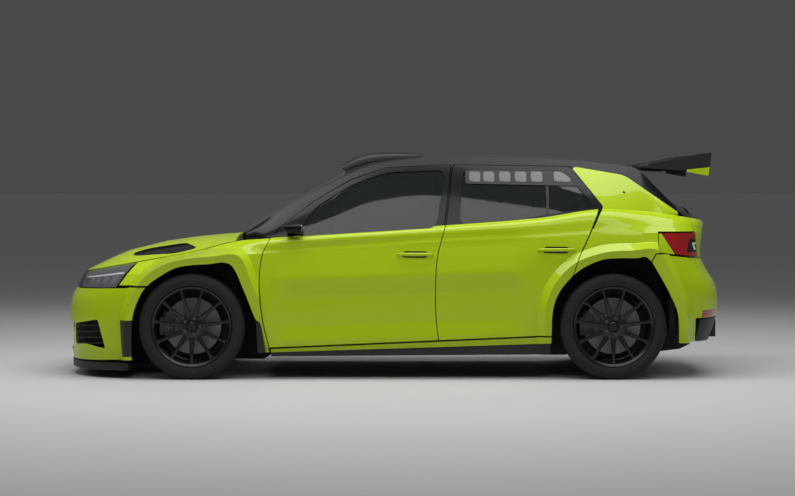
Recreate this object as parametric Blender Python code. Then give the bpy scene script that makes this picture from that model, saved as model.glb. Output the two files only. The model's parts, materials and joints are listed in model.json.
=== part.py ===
"""A five-door tarmac rally car, standing on its wheels: body panels, doors, glass, wing, axles and cabin.

Metres, +Z up. The nose points along -X and the car's left side is at -Y. The origin is on the ground,
under the middle of the car. Body shapes are read from short tables of shares: x is a share of the wheelbase
behind the front axle, y a share of the half width, and z a share of the roof's height.
"""

import math

import bmesh
import bpy
from mathutils import Matrix, Vector
from mathutils.bvhtree import BVHTree

for startup_object in list(bpy.data.objects):
    bpy.data.objects.remove(startup_object)

# Driving dimensions
WHEELBASE = 2.564
FRONT_AXLE_X = -1.219
HALF_WIDTH = 0.910
ROOF_HEIGHT = 1.380
GAP = 0.0055
SEAT_GAP = 0.0003
CUT_OVERRUN = 0.05
OUTER_Y = HALF_WIDTH + CUT_OVERRUN

# Body sheet thicknesses
SKIN = 0.016
DOOR_DEPTH = 0.036
FRAME_DEPTH = 0.020
GLASS = 0.005
ROOF_SKIN = 0.018

# Wheels and tyres
TYRE_RADIUS = 0.3225
RIM_RADIUS = 0.243
RIM_WALL = 0.010
HUB_RADIUS = 0.066
HUB_FACE_IN = 0.030
SPOKE_COUNT = 11
SPOKE_ROOT = 0.034
SPOKE_TIP = 0.015
SPOKE_DEPTH = 0.026
DISC_RADIUS = 0.172
DISC_THICKNESS = 0.028
WHEEL_TUCK = 0.022
WHEEL_FACE_Y = HALF_WIDTH - WHEEL_TUCK

FULL_TURN = 2 * math.pi


def at_x(share):
    """Place along the car, from its share of the wheelbase behind the front axle."""
    return FRONT_AXLE_X + share * WHEELBASE


def at_y(share):
    return share * HALF_WIDTH


def at_z(share):
    return share * ROOF_HEIGHT


# Lines of the body side and bonnet, from the sill up to the middle of the bonnet:
# 0 lower edge, 1 sill, 2 low waist, 3 flank, 4 upper flank, 5 shoulder, 6 belt, 7 crown, 8 centre.
# Each row: x share, then (y share, z share) of each line.
SIDE_SHARES = (
    (-0.090, ((.879, .091), (.901, .138), (.921, .239), (.925, .341), (.918, .409),
              (.879, .475), (.703, .530), (.374, .580), (0, .599))),
    (0.000, ((.879, .101), (.912, .145), (.932, .246), (.940, .348), (.936, .449),
             (.912, .518), (.720, .561), (.385, .607), (0, .622))),
    (0.105, ((.890, .112), (.918, .130), (.936, .239), (.947, .362), (.943, .478),
             (.932, .547), (.769, .610), (.396, .632), (0, .639))),
    (0.183, ((.901, .118), (.923, .137), (.942, .239), (.952, .362), (.943, .486),
             (.934, .558), (.870, .623), (.440, .641), (0, .649))),
    (0.592, ((.901, .142), (.923, .170), (.942, .268), (.954, .391), (.945, .522),
             (.936, .609), (.868, .678), (.440, .688), (0, .692))),
    (0.826, ((.901, .156), (.925, .189), (.945, .283), (.956, .406), (.951, .543),
             (.936, .628), (.863, .712), (.440, .717), (0, .721))),
    (0.967, ((.901, .164), (.929, .201), (.945, .290), (.958, .420), (.954, .558),
             (.934, .642), (.841, .750), (.440, .754), (0, .757))),
    (1.099, ((.879, .170), (.912, .210), (.934, .297), (.951, .435), (.940, .558),
             (.912, .647), (.769, .739), (.396, .746), (0, .750))),
)
# Where the same lines cross the middle of the nose and of the tail: (x share, z share).
NOSE_SHARES = ((-.316, .072), (-.322, .120), (-.325, .225), (-.322, .333), (-.307, .395),
               (-.299, .431), (-.287, .464), (-.195, .547), (-.141, .576))
TAIL_SHARES = ((1.255, .159), (1.267, .217), (1.27585, .304), (1.271, .402), (1.234, .529),
               (1.238, .652), (1.236, .699), (1.158, .739), (1.138, .746))
NOSE_ROUNDNESS = 0.77
TAIL_ROUNDNESS = 0.66

# The roof rail that parts the side glass from the windscreen and roof: x, z and y shares.
RAIL_SHARES = ((.126, .647, .786), (.219, .758, .742), (.315, .854, .698), (.404, .930, .665),
               (.477, .960, .651), (.551, .975, .644), (.682, .983, .637), (.865, .975, .629),
               (.975, .958, .621), (1.049, .940, .618), (1.073, .922, .626), (1.101, .868, .654),
               (1.124, .822, .676), (1.166, .748, .714), (1.209, .716, .725))
# The middle of windscreen, roof and rear glass: x and z shares.
CENTRE_SHARES = ((.092, .638), (.227, .783), (.350, .912), (.419, .962), (.554, .989), (.680, .999),
                 (.865, .990), (.975, .975), (1.049, .960), (1.068, .941), (1.099, .899),
                 (1.159, .819), (1.236, .714))

# Panel edges in side view: (x share, z share).
DOOR_FRONT_SHARES = ((.183, .100), (.183, .137), (.176, .191), (.167, .272), (.160, .420),
                     (.167, .548), (.185, .622), (.190, .660))
DOOR_SPLIT_SHARES = ((.588, .120), (.586, .165), (.580, .263), (.578, .351), (.582, .530),
                     (.601, .672), (.640, .960))
DOOR_REAR_SHARES = ((.860, .100), (.880, .380), (.903, .459), (.916, .529), (.947, .655), (.967, .747))
FRONT_ARCH_SHARES = ((-.143, .085), (-.141, .267), (-.136, .301), (-.122, .368), (-.104, .415),
                     (-.075, .455), (-.038, .492), (-.002, .505), (.037, .509), (.092, .509),
                     (.124, .395), (.150, .273), (.164, .240), (.172, .119))
REAR_ARCH_SHARES = ((.853, .159), (.855, .292), (.866, .369), (.889, .432), (.923, .488),
                    (.968, .527), (1.006, .536), (1.051, .536), (1.081, .536), (1.111, .453),
                    (1.137, .362), (1.153, .285), (1.158, .159))
FRONT_CREASE_SHARES = ((-.160, .085), (-.159, .267), (-.153, .317), (-.140, .368), (-.123, .423),
                       (-.097, .473), (-.057, .513), (-.003, .535), (.052, .544), (.113, .546),
                       (.144, .423), (.168, .309), (.177, .240), (.187, .119))
REAR_CREASE_SHARES = ((.837, .159), (.838, .300), (.848, .379), (.872, .453), (.905, .511),
                      (.945, .545), (.990, .565), (1.045, .570), (1.102, .572), (1.134, .474),
                      (1.156, .383), (1.172, .295), (1.177, .159))
FRONT_PROUD_SHARES = (.7, .9, 1, 1, 1, 1, 1, 1, 1, 1, .9, .6, .4, .25)
REAR_PROUD_SHARES = (.5, .8, 1, 1, 1, 1, 1, 1, 1, 1, 1, .8, .5)
# The rear door's part of the rear arch, and the rear bumper's, each up to its shut line.
DOOR_ARCH_SHARES = ((.70, .1935), (.95, .1935), (.95, .40), (.9010, .459), (.9140, .529), (.928, .600), (.70, .600))
BODY_ARCH_SHARES = ((.70, .1865), (.95, .1865), (.95, .40), (.9055, .459), (.9185, .529), (.934, .600), (.70, .602))
BUMPER_SIDE_SHARES = ((1.086, .05), (1.086, .50), (1.100, .5525), (1.40, .5525), (1.40, .05))
BODY_SIDE_SHARES = ((1.083, .05), (1.083, .502), (1.0978, .5575), (1.41, .5575), (1.41, .05))
FRONT_GLASS_SHARES = ((.245, .629), (.292, .760), (.378, .860), (.462, .914), (.603, .926), (.580, .668))
REAR_GLASS_SHARES = ((.645, .928), (.888, .922), (.958, .762), (.881, .735), (.779, .705), (.636, .686))
# Outer edges of the doors' window frames, above the belt.
FRONT_FRAME_SHARES = ((.190, .600), (.205, .668), (.292, .790), (.378, .882), (.462, .935),
                      (.616, .948), (.596, .640))
REAR_FRAME_SHARES = ((.622, .948), (.903, .940), (.978, .760), (.967, .730), (.950, .660), (.602, .640))


def blended(keys, values, key):
    """A smooth curve through values at keys, read at key, with the end slopes kept straight."""
    last = len(keys) - 1
    i = 0
    while i < last - 1 and key > keys[i + 1]:
        i += 1
    span = keys[i + 1] - keys[i]

    def slope(j):
        before, after = max(j - 1, 0), min(j + 1, last)
        return (values[after] - values[before]) / (keys[after] - keys[before])

    t = (key - keys[i]) / span
    if t <= 0 or t >= 1:
        end = 0 if t <= 0 else 1
        return values[i + end] + (t - end) * slope(i + end) * span
    return ((2 * t**3 - 3 * t**2 + 1) * values[i] + (t**3 - 2 * t**2 + t) * span * slope(i)
            + (3 * t**2 - 2 * t**3) * values[i + 1] + (t**3 - t**2) * span * slope(i + 1))


STATION_X = [at_x(row[0]) for row in SIDE_SHARES]
BODY_START, BODY_END = STATION_X[0], STATION_X[-1]
LINES = range(len(NOSE_SHARES))
LINE_Y = [[at_y(row[1][k][0]) for row in SIDE_SHARES] for k in LINES]
LINE_Z = [[at_z(row[1][k][1]) for row in SIDE_SHARES] for k in LINES]


def line_place(k, turn):
    """Body line k at turn: 0 to 1 rounds the nose, 1 to 2 runs along the side, 2 to 3 rounds the tail."""
    if 1 <= turn <= 2:
        x = BODY_START + (turn - 1) * (BODY_END - BODY_START)
        return x, blended(STATION_X, LINE_Y[k], x), blended(STATION_X, LINE_Z[k], x)
    nose = turn < 1
    end_share, roundness = (NOSE_SHARES[k], NOSE_ROUNDNESS) if nose else (TAIL_SHARES[k], TAIL_ROUNDNESS)
    station = 0 if nose else -1
    angle = (turn if nose else 3 - turn) * math.pi / 2
    ahead = max(math.cos(angle), 0) ** roundness
    x0, z0 = STATION_X[station], LINE_Z[k][station]
    x = x0 + (at_x(end_share[0]) - x0) * ahead
    return x, LINE_Y[k][station] * max(math.sin(angle), 0) ** roundness, z0 + (at_z(end_share[1]) - z0) * ahead


def skin(line, turn):
    """A point of the body's outer skin. turn below 0 or above 3 is the right side; between them the left."""
    right = turn < 0 or turn > 3
    turn = abs(turn) if turn < 3 else 6 - turn
    if turn > 3:
        turn, right = 6 - turn, not right
    low = min(int(line), len(LINES) - 2)
    t = line - low
    near = [line_place(min(max(low + j, 0), LINES[-1]), turn) for j in (-1, 0, 1, 2)]
    before, a, b, after = (Vector(p) for p in near)
    if t == 0:
        x, y, z = a
    else:
        start = (b - a) if low in SHARP_LINES else (b - before) / 2
        finish = (b - a) if low + 1 in SHARP_LINES else (after - a) / 2
        x, y, z = ((2 * t**3 - 3 * t**2 + 1) * a + (t**3 - 2 * t**2 + t) * start
                   + (3 * t**2 - 2 * t**3) * b + (t**3 - t**2) * finish)
    return Vector((x, max(y, 0) if right else -max(y, 0), z))


SHARP_LINES = (0, 1, 5, 8)


def turn_at(x):
    """The skin's turn at a place along the straight side."""
    return 1 + (x - BODY_START) / (BODY_END - BODY_START)


def turn_of(line, x):
    """The turn at which a body line has this place along the car, on the left side, nose or tail."""
    if BODY_START <= x <= BODY_END:
        return turn_at(x)
    low, high = (0.0, 1.0) if x < BODY_START else (2.0, 3.0)
    for _ in range(SEARCHES):
        middle = (low + high) / 2
        if skin(line, middle).x < x:
            low = middle
        else:
            high = middle
    return low


def skin_at(x, z):
    """The left skin where it has this x and z."""
    low, high = 0.0, 6.0
    for _ in range(SEARCHES):
        middle = (low + high) / 2
        if skin(middle, turn_of(middle, x)).z < z:
            low = middle
        else:
            high = middle
    return skin(low, turn_of(low, x))


SEARCHES = 22


def edge_x(shares, z):
    """Place along the car of a panel edge at height z."""
    return blended([at_z(s[1]) for s in shares], [at_x(s[0]) for s in shares], z)


def door_place(front, rear):
    """Grid place for a side panel between two edges: row is a body line, column runs 0 to 1 from front to rear."""

    def place(line, column):
        x = at_x(.5)
        for _ in range(4):
            z = skin(line, turn_at(x)).z
            x = front(z) + (rear(z) - front(z)) * column
        return skin(line, turn_at(x))

    return place


RAIL_X = [at_x(s[0]) for s in RAIL_SHARES]
RAIL_Z = [at_z(s[1]) for s in RAIL_SHARES]
RAIL_Y = [at_y(s[2]) for s in RAIL_SHARES]
CENTRE_X = [at_x(s[0]) for s in CENTRE_SHARES]
CENTRE_Z = [at_z(s[1]) for s in CENTRE_SHARES]
CROWN_POWER = 2.2


def canopy(x, across, drop=0.0):
    """Windscreen, roof and rear glass: across runs from -1 at the left rail to 1 at the right rail."""
    rail_z, rail_y = blended(RAIL_X, RAIL_Z, x), blended(RAIL_X, RAIL_Y, x)
    middle_z = blended(CENTRE_X, CENTRE_Z, x)
    return Vector((x, rail_y * across, middle_z + (rail_z - middle_z) * abs(across) ** CROWN_POWER - drop))


SIDE_BULGE = 0.012

# Materials
COLOURS = {
    "paint": ((.33, .52, .01, 1), .25, 0),
    "black_gloss": ((.012, .012, .013, 1), .15, 0),
    "black_plastic": ((.02, .02, .021, 1), .6, 0),
    "glass": ((.05, .06, .065, 1), .05, 0),
    "lamp_lens": ((.35, .36, .38, 1), .1, 0),
    "lamp_red": ((.45, .01, .015, 1), .15, 0),
    "rubber": ((.018, .018, .018, 1), .8, 0),
    "rim": ((.025, .025, .027, 1), .3, .6),
    "steel": ((.3, .3, .31, 1), .4, 1),
    "cage": ((.45, .46, .47, 1), .45, 0),
    "seat": ((.03, .03, .032, 1), .9, 0),
}


def material(name):
    if name in bpy.data.materials:
        return bpy.data.materials[name]
    made = bpy.data.materials.new(name)
    made.use_nodes = True
    colour, roughness, metallic = COLOURS[name]
    shader = made.node_tree.nodes["Principled BSDF"]
    shader.inputs["Base Color"].default_value = colour
    shader.inputs["Roughness"].default_value = roughness
    shader.inputs["Metallic"].default_value = metallic
    return made


def finished(name, bm, finish):
    """Turns a bmesh into an object in the scene, normals outwards."""
    bmesh.ops.recalc_face_normals(bm, faces=bm.faces)
    if bm.calc_volume(signed=True) < 0:
        bmesh.ops.reverse_faces(bm, faces=bm.faces)
    mesh = bpy.data.meshes.new(name)
    bm.to_mesh(mesh)
    bm.free()
    mesh.materials.append(material(finish))
    made = bpy.data.objects.new(name, mesh)
    bpy.context.scene.collection.objects.link(made)
    return made


WELD = 1e-5
NUDGE = 1e-3


def sheet(name, place, rows, columns, depth, finish, inset=0):
    """A closed panel: its outer face lies inset behind place(row, column), its inner face depth behind that."""
    bm = bmesh.new()
    inward = {}
    grid = []
    for row in rows:
        line = []
        for column in columns:
            point = place(row, column)
            line.append(bm.verts.new(point))
            r, c = row, column
            across = place(min(r + NUDGE, rows[-1]), c) - place(max(r - NUDGE, rows[0]), c)
            along = place(r, min(c + NUDGE, columns[-1])) - place(r, max(c - NUDGE, columns[0]))
            normal = along.normalized().cross(across.normalized())
            if normal.length < SQUARE_ENOUGH:
                r, c = r - POLE_STEP, c + POLE_STEP
                normal = (place(r, c + NUDGE) - place(r, c)).cross(place(r + NUDGE, c) - place(r, c))
            inward[tuple(round(v, 5) for v in line[-1].co)] = normal.normalized()
        grid.append(line)
    for i in range(len(rows) - 1):
        for j in range(len(columns) - 1):
            bm.faces.new((grid[i][j], grid[i][j + 1], grid[i + 1][j + 1], grid[i + 1][j]))
    bmesh.ops.remove_doubles(bm, verts=bm.verts, dist=WELD)
    middle = grid[len(rows) // 2][len(columns) // 2].co
    facing = inward[tuple(round(v, 5) for v in middle)]
    away = (middle - Vector((0, 0, at_z(.35)))) * Vector((.15, 1, 1))
    sign = 1 if facing.dot(away) > 0 else -1
    made = bmesh.ops.extrude_face_region(bm, geom=list(bm.faces))
    inner = {g for g in made["geom"] if isinstance(g, bmesh.types.BMVert)}
    for vertex in bm.verts:
        normal = sign * inward[tuple(round(v, 5) for v in vertex.co)]
        thick = depth(vertex.co.x) if callable(depth) else depth
        vertex.co -= (inset + (thick if vertex in inner else 0)) * normal
    return finished(name, bm, finish)


SQUARE_ENOUGH = 0.02
POLE_STEP = 0.05


def loft(name, sections, finish, ring=False):
    """A closed solid through loops of equal length, capped at both ends unless it closes on itself."""
    bm = bmesh.new()
    loops = [[bm.verts.new(point) for point in section] for section in sections]
    count = len(loops[0])
    pairs = list(zip(loops, loops[1:])) + ([(loops[-1], loops[0])] if ring else [])
    for a, b in pairs:
        for j in range(count):
            k = (j + 1) % count
            bm.faces.new((a[j], a[k], b[k], b[j]))
    if not ring:
        bm.faces.new(loops[0])
        bm.faces.new(loops[-1])
    return finished(name, bm, finish)


def prism(name, outline, start, end, finish="black_plastic"):
    """A side-view outline of (x, z) points, drawn out across the car from y start to y end."""
    return loft(name, [[(x, y, z) for x, z in outline] for y in (start, end)], finish)


def block(name, low, high, finish="black_plastic"):
    outline = ((low[0], low[2]), (high[0], low[2]), (high[0], high[2]), (low[0], high[2]))
    return prism(name, outline, low[1], high[1], finish)


def squared_up(mesh):
    """Triangles only, facing outwards, which is what a Boolean needs."""
    bm = bmesh.new()
    bm.from_mesh(mesh)
    bmesh.ops.remove_doubles(bm, verts=bm.verts, dist=WELD)
    bmesh.ops.dissolve_degenerate(bm, edges=bm.edges, dist=WELD)
    bmesh.ops.triangulate(bm, faces=bm.faces)
    bmesh.ops.recalc_face_normals(bm, faces=bm.faces)
    if bm.calc_volume(signed=True) < 0:
        bmesh.ops.reverse_faces(bm, faces=bm.faces)
    bm.to_mesh(mesh)
    bm.free()


def simplified(made):
    """Merges the flat triangles and slivers that Booleans leave behind."""
    bm = bmesh.new()
    bm.from_mesh(made.data)
    bmesh.ops.remove_doubles(bm, verts=bm.verts, dist=SLIVER)
    bmesh.ops.dissolve_degenerate(bm, edges=bm.edges, dist=SLIVER)
    bmesh.ops.dissolve_limit(bm, angle_limit=FLAT_ENOUGH, verts=bm.verts, edges=bm.edges)
    bmesh.ops.triangulate(bm, faces=bm.faces)
    bm.to_mesh(made.data)
    bm.free()


SLIVER = 1e-4
FLAT_ENOUGH = math.radians(.4)


def combined(target, others, operation):
    """Applies a Boolean with each of the other objects, which are used up."""
    for other in others:
        squared_up(target.data)
        squared_up(other.data)
        step = target.modifiers.new(operation, "BOOLEAN")
        step.operation = operation
        step.solver = "EXACT"
        step.object = other
        bpy.context.view_layer.update()
        graph = bpy.context.evaluated_depsgraph_get()
        mesh = bpy.data.meshes.new_from_object(target.evaluated_get(graph), depsgraph=graph)
        mesh.name = target.name
        target.modifiers.clear()
        target.data = mesh
        squared_up(target.data)
        bpy.data.objects.remove(other)
    return target


def mirrored(source, name):
    """The right-hand copy of a left-hand piece."""
    mesh = source.data.copy()
    mesh.transform(Matrix.Scale(-1, 4, (0, 1, 0)))
    mesh.flip_normals()
    made = bpy.data.objects.new(name, mesh)
    bpy.context.scene.collection.objects.link(made)
    return made


def met(piece, start, direction):
    """Where a straight line first meets a piece."""
    bm = bmesh.new()
    bm.from_mesh(piece.data)
    place = BVHTree.FromBMesh(bm).ray_cast(Vector(start), Vector(direction))[0]
    bm.free()
    return place


def outline_of(shares):
    return [(at_x(a), at_z(b)) for a, b in shares]


def middle_of(outline):
    return tuple(sum(values) / len(outline) for values in zip(*outline))


def tube(name, points, radius, sides, finish):
    """A round bar through points, with its facets carried on from one stretch to the next."""
    sections = []
    points = [Vector(p) for p in points]
    first = (points[1] - points[0]).normalized()
    side = first.cross(Vector((0, 0, 1)) if abs(first.z) < abs(first.y) + abs(first.x) else Vector((0, 1, 0)))
    for i, p in enumerate(points):
        ahead = (points[min(i + 1, len(points) - 1)] - points[max(i - 1, 0)]).normalized()
        side = (side - ahead * side.dot(ahead)).normalized()
        up = side.cross(ahead)
        sections.append([p + radius * (math.cos(a) * side + math.sin(a) * up)
                         for a in (FULL_TURN * j / sides for j in range(sides))])
    return loft(name, sections, finish)


def disc(name, centre, radius, thickness, sides, finish):
    """A round plate or drum whose axis lies across the car, centred on centre."""
    x, y, z = centre
    return loft(name, [[(x + radius * math.cos(a), y + w, z + radius * math.sin(a))
                        for a in (FULL_TURN * j / sides for j in range(sides))]
                       for w in (-thickness / 2, thickness / 2)], finish)


def spaced(start, end, count):
    return [start + (end - start) * i / count for i in range(count + 1)]


# Arches: the panels are cut a little outside the opening, and the flare's solid forms its edge.
FLARE_Y = 0.910
FLARE_TUCK = 0.015
FLARE_DEPTH = 0.030
FLARE_FOOT = 0.045
FLARE_PROUD = 0.001
FLARE_BURY = 0.010
ARCH_CUT_OUT = 0.012


def grown(outline, centre, by):
    """The outline moved away from centre by a distance."""
    moved = []
    for x, z in outline:
        away = Vector((x - centre[0], z - centre[1]))
        away = away.normalized() * (away.length + by)
        moved.append((centre[0] + away.x, centre[1] + away.y))
    return moved


def arch_cutter(name, outline, centre):
    """What the arch takes out of the body's panels, open downwards."""
    edge = grown(outline, centre, ARCH_CUT_OUT)
    shape = [(edge[0][0], -CUT_OVERRUN)] + edge + [(edge[-1][0], -CUT_OVERRUN)]
    return prism(name, shape, -OUTER_Y, -at_y(.6))


def flare(name, outline, crease, centre, proud_shares):
    """The raised lip round a wheel arch, as a solid whose foot is buried in the panels."""
    foot = grown(crease, centre, FLARE_FOOT)
    sections = []
    for (ox, oz), (cx, cz), (fx, fz), proud in zip(outline, crease, foot, proud_shares):
        surface = skin_at(fx, fz)
        under_crease = -skin_at(cx, cz).y
        crease_y = under_crease + (FLARE_Y - under_crease) * proud
        edge_y = crease_y - FLARE_TUCK
        sections.append([(ox, -edge_y + FLARE_DEPTH, oz), (ox, -edge_y, oz), (cx, -crease_y, cz),
                         (surface.x, surface.y - FLARE_PROUD, surface.z),
                         (surface.x, surface.y + FLARE_BURY, surface.z)])
    return loft(name, sections, "paint")


FRONT_CENTRE = (at_x(0), at_z(.234))
REAR_CENTRE = (at_x(1), at_z(.234))
FRONT_ARCH = outline_of(FRONT_ARCH_SHARES)
REAR_ARCH = outline_of(REAR_ARCH_SHARES)
FRONT_CREASE = outline_of(FRONT_CREASE_SHARES)
REAR_CREASE = outline_of(REAR_CREASE_SHARES)


SHUT = 0.04
BONNET_REAR_SHARE = 0.100
SCREEN_SHARES = (0.117, 0.414)
ROOF_SHARES = (0.4165, 1.047)
HATCH_TOP_SHARE = 1.0525
DITCH_SHARE = 0.89
DITCH_GAP_SHARE = 0.001
HATCH_WIDTH_SHARE = 0.972
NOSE_END = 0.93


def build_bonnet():
    turns = [0, .14, .28, .42, .56, .70, .82, .91, 1, 1.08, turn_at(at_x(BONNET_REAR_SHARE))]
    turns = [-t for t in reversed(turns[1:])] + turns
    bonnet = sheet("bonnet", skin, [6.05, 6.5, 7, 7.5, 8], turns, SKIN, "paint")
    hinge_x, hinge_z = BONNET_HINGE
    for side in (-1, 1):
        y = side * BONNET_LUG_Y
        top = at_z(LUG_TOP_SHARE)
        lug = block("lug", (hinge_x - LUG_LENGTH, y - LUG_WIDTH / 2, hinge_z - LUG_HEIGHT),
                    (hinge_x + LUG_HEIGHT, y + LUG_WIDTH / 2, top), "paint")
        combined(bonnet, [lug], "UNION")
    return bonnet


BONNET_HINGE = (at_x(.092), at_z(.600))
BONNET_LUG_Y = at_y(.5495)
LUG_TOP_SHARE = 0.615
LUG_LENGTH = 0.060
LUG_WIDTH = 0.030
LUG_HEIGHT = 0.022


def lamp_rear_turn(line):
    """Where a headlight ends on the fender's side."""
    return .78 + .055 * (line - 4)


def build_front_end():
    """Bumper, grille, headlights, and the splitter under them."""
    turns = [0, .14, .28, .42, .56, .7, .82, .93, 1.0]
    turns = [-t for t in reversed(turns[1:])] + turns
    bumper = sheet("front_bumper", skin, [0, 1, 2, 3, 4 - SHUT], turns, SKIN, "paint")
    cut = arch_cutter("arch", FRONT_ARCH, FRONT_CENTRE)
    combined(bumper, [mirrored(cut, "arch_right"), cut], "DIFFERENCE")
    lip = combined(front_flare(), [lower_front(.4055)], "INTERSECT")
    combined(bumper, [mirrored(lip, "flare_right"), lip], "UNION")
    side = prism("intake", outline_of(SIDE_INTAKE_SHARES), -OUTER_Y, -at_y(.55))
    middle = loft("intake", [[(x, at_y(y), at_z(z)) for y, z in LOWER_INTAKE_SHARES]
                             for x in (at_x(-.4), at_x(-.2))], "paint")
    combined(bumper, [mirrored(side, "intake_right"), side, middle], "DIFFERENCE")
    for y in BRACKET_Y:
        combined(bumper, [block("bracket", (BUMPER_BACK_X, y - BRACKET_HALF, BUMPER_BRACKET_Z[0]),
                                (PANEL_X[0] - SEAT_GAP, y + BRACKET_HALF, BUMPER_BRACKET_Z[1]))], "UNION")

    grille = sheet("grille", skin, [4 + SHUT, 5, 6 - SHUT], spaced(-GRILLE_TURN, GRILLE_TURN, 6), SKIN,
                   "black_plastic")
    combined(grille, [block("bracket", (GRILLE_BACK_X, -BRACKET_HALF, LAMP_BRACKET_Z[0]),
                            (PANEL_X[0] - SEAT_GAP, BRACKET_HALF, LAMP_BRACKET_Z[1]))], "UNION")

    def lamp_place(line, column):
        start = GRILLE_TURN + .015
        return skin(line, start + (lamp_rear_turn(line) - start) * column)

    lamp = sheet("headlight_left", lamp_place, [4 + SHUT, 5, 6 - SHUT], spaced(0, 1, 5), LAMP_DEPTH, "lamp_lens")
    combined(lamp, [block("bracket", (LAMP_BACK_X, -LAMP_BRACKET_Y[1], LAMP_BRACKET_Z[0]),
                          (PANEL_X[0] - SEAT_GAP, -LAMP_BRACKET_Y[0], LAMP_BRACKET_Z[1]))], "UNION")
    mirrored(lamp, "headlight_right")

    edge = [skin(0, t) for t in spaced(-SPLITTER_TURN, SPLITTER_TURN, 12)]
    rear = at_x(-.155)
    outline = [(p.x - SPLITTER_OUT, p.y) for p in edge]
    outline = [(rear, outline[0][1])] + outline + [(rear, outline[-1][1])]
    splitter = loft("front_splitter", [[(x, y, z) for x, y in outline] for z in SPLITTER_Z], "black_plastic")
    for y in BRACKET_Y:
        stay = block("stay", (SPLITTER_STAY_X[0], y - BRACKET_HALF, SPLITTER_Z[0] + SKIN),
                     (SPLITTER_STAY_X[1], y + BRACKET_HALF, PANEL_Z[0] - SEAT_GAP))
        combined(splitter, [stay], "UNION")


# Openings of the bumper: (x share, z share) beside the wheels, (y share, z share) in the middle.
SIDE_INTAKE_SHARES = ((-.292, .238), (-.229, .262), (-.210, .131), (-.262, .150), (-.292, .142))
LOWER_INTAKE_SHARES = ((-.50, .115), (.50, .115), (.58, .245), (-.58, .245))
GRILLE_TURN = 0.34
LAMP_DEPTH = 0.020
LAMP_BACK_X = at_x(-.2578)
LAMP_BRACKET_Y = (at_y(.615), at_y(.659))
LAMP_BRACKET_Z = (at_z(.417), at_z(.438))
GRILLE_BACK_X = at_x(-.296)
BUMPER_BACK_X = at_x(-.3163)
BUMPER_BRACKET_Z = (at_z(.290), at_z(.319))
BRACKET_Y = (-at_y(.352), at_y(.352))
BRACKET_HALF = 0.025
PANEL_THICK = 0.030
PANEL_X = (at_x(-.1876), at_x(-.1876) + PANEL_THICK)
PANEL_Z = (at_z(.181), at_z(.464))
PANEL_HALF = at_y(.681)
SPLITTER_TURN = 0.86
SPLITTER_OUT = 0.006
SPLITTER_Z = (at_z(.035), at_z(.0695))
SPLITTER_STAY_IN = 0.002
SPLITTER_STAY_X = (PANEL_X[0] + SPLITTER_STAY_IN, PANEL_X[1] - SPLITTER_STAY_IN)


def build_fender():
    """Left front fender with its arch, and brackets back to the hinge post."""

    def place(line, column):
        if column <= 1:
            start = lamp_rear_turn(max(line, 4)) + .018
            return skin(line, start + (1 - start) * column)
        x = at_x(.17)
        for _ in range(4):
            x = edge_x(DOOR_FRONT_SHARES, skin(line, turn_at(x)).z) - GAP / 2
        return skin(line, 1 + (turn_at(x) - 1) * (column - 1))

    fender = sheet("fender_left", place, [1 + SHUT, 2, 3, 4, 5, 5.5, 6 - SHUT],
                   [0, .5, 1, 1.25, 1.5, 1.75, 2], SKIN, "paint")
    lip = front_flare()
    door_side = [(edge_x(DOOR_FRONT_SHARES, at_z(z)) - GAP / 2, at_z(z)) for z in (.08, .14, .19, .272, .42, .58)]
    keep = [(at_x(-.30), at_z(.08))] + door_side + [(at_x(-.30), at_z(.58))]
    combined(lip, [prism("keep", keep, -OUTER_Y, -at_y(.7))], "INTERSECT")
    combined(fender, [arch_cutter("arch", FRONT_ARCH, FRONT_CENTRE), lower_front(.4145)], "DIFFERENCE")
    combined(lip, [lower_front(.4145)], "DIFFERENCE")
    combined(fender, [lip], "UNION")
    for z in FENDER_BRACKET_Z:
        combined(fender, [block("bracket", (POST_X[0] - FENDER_BRACKET, -FENDER_BRACKET_Y[1], z - BRACKET_HALF),
                                (POST_X[0] - SEAT_GAP, -FENDER_BRACKET_Y[0], z + BRACKET_HALF))], "UNION")
    mirrored(fender, "fender_right")


def front_flare():
    return flare("flare", FRONT_ARCH, FRONT_CREASE, FRONT_CENTRE, FRONT_PROUD_SHARES)


def lower_front(z_share):
    """Everything ahead of the front wheel and below a height, on the left."""
    return block("below", (at_x(-.30), -OUTER_Y, -CUT_OVERRUN), (at_x(-.05), -at_y(.3), at_z(z_share)))


BULKHEAD_THICK = 0.020
BULKHEAD_X = (at_x(.1634), at_x(.1634) + BULKHEAD_THICK)
FENDER_BRACKET = 0.020
FENDER_BRACKET_Y = (at_y(.835), at_y(.936))
POST_X = (at_x(.1517), at_x(.179))
POST_Y = (at_y(.791), at_y(.879))
POST_Z = (at_z(.145), at_z(.522))
FENDER_BRACKET_Z = (at_z(.348), at_z(.478))


def belt_turn(x):
    """The turn at which the belt line has this place along the car, on the side or round the tail."""
    if x <= BODY_END:
        return turn_at(x)
    ahead = min((x - BODY_END) / (at_x(TAIL_SHARES[6][0]) - BODY_END), 1)
    return 3 - math.acos(ahead ** (1 / TAIL_ROUNDNESS)) * 2 / math.pi


def cabin_place(row, x):
    """Left cabin side, row 0 at the belt to 1 at the rail, then on over the rail's top to the roof ditch at 2."""
    if row <= 1:
        belt = skin(6, belt_turn(x))
        top_y, top_z = blended(RAIL_X, RAIL_Y, x), blended(RAIL_X, RAIL_Z, x)
        y = -belt.y + (top_y + belt.y) * row + SIDE_BULGE * 4 * row * (1 - row)
        return Vector((x, -y, belt.z + (top_z - belt.z) * row))
    reach = 1 - DITCH_SHARE if x < at_x(HATCH_TOP_SHARE) else 1 - HATCH_WIDTH_SHARE
    return canopy(x, -(1 - reach * (row - 1)))


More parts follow.
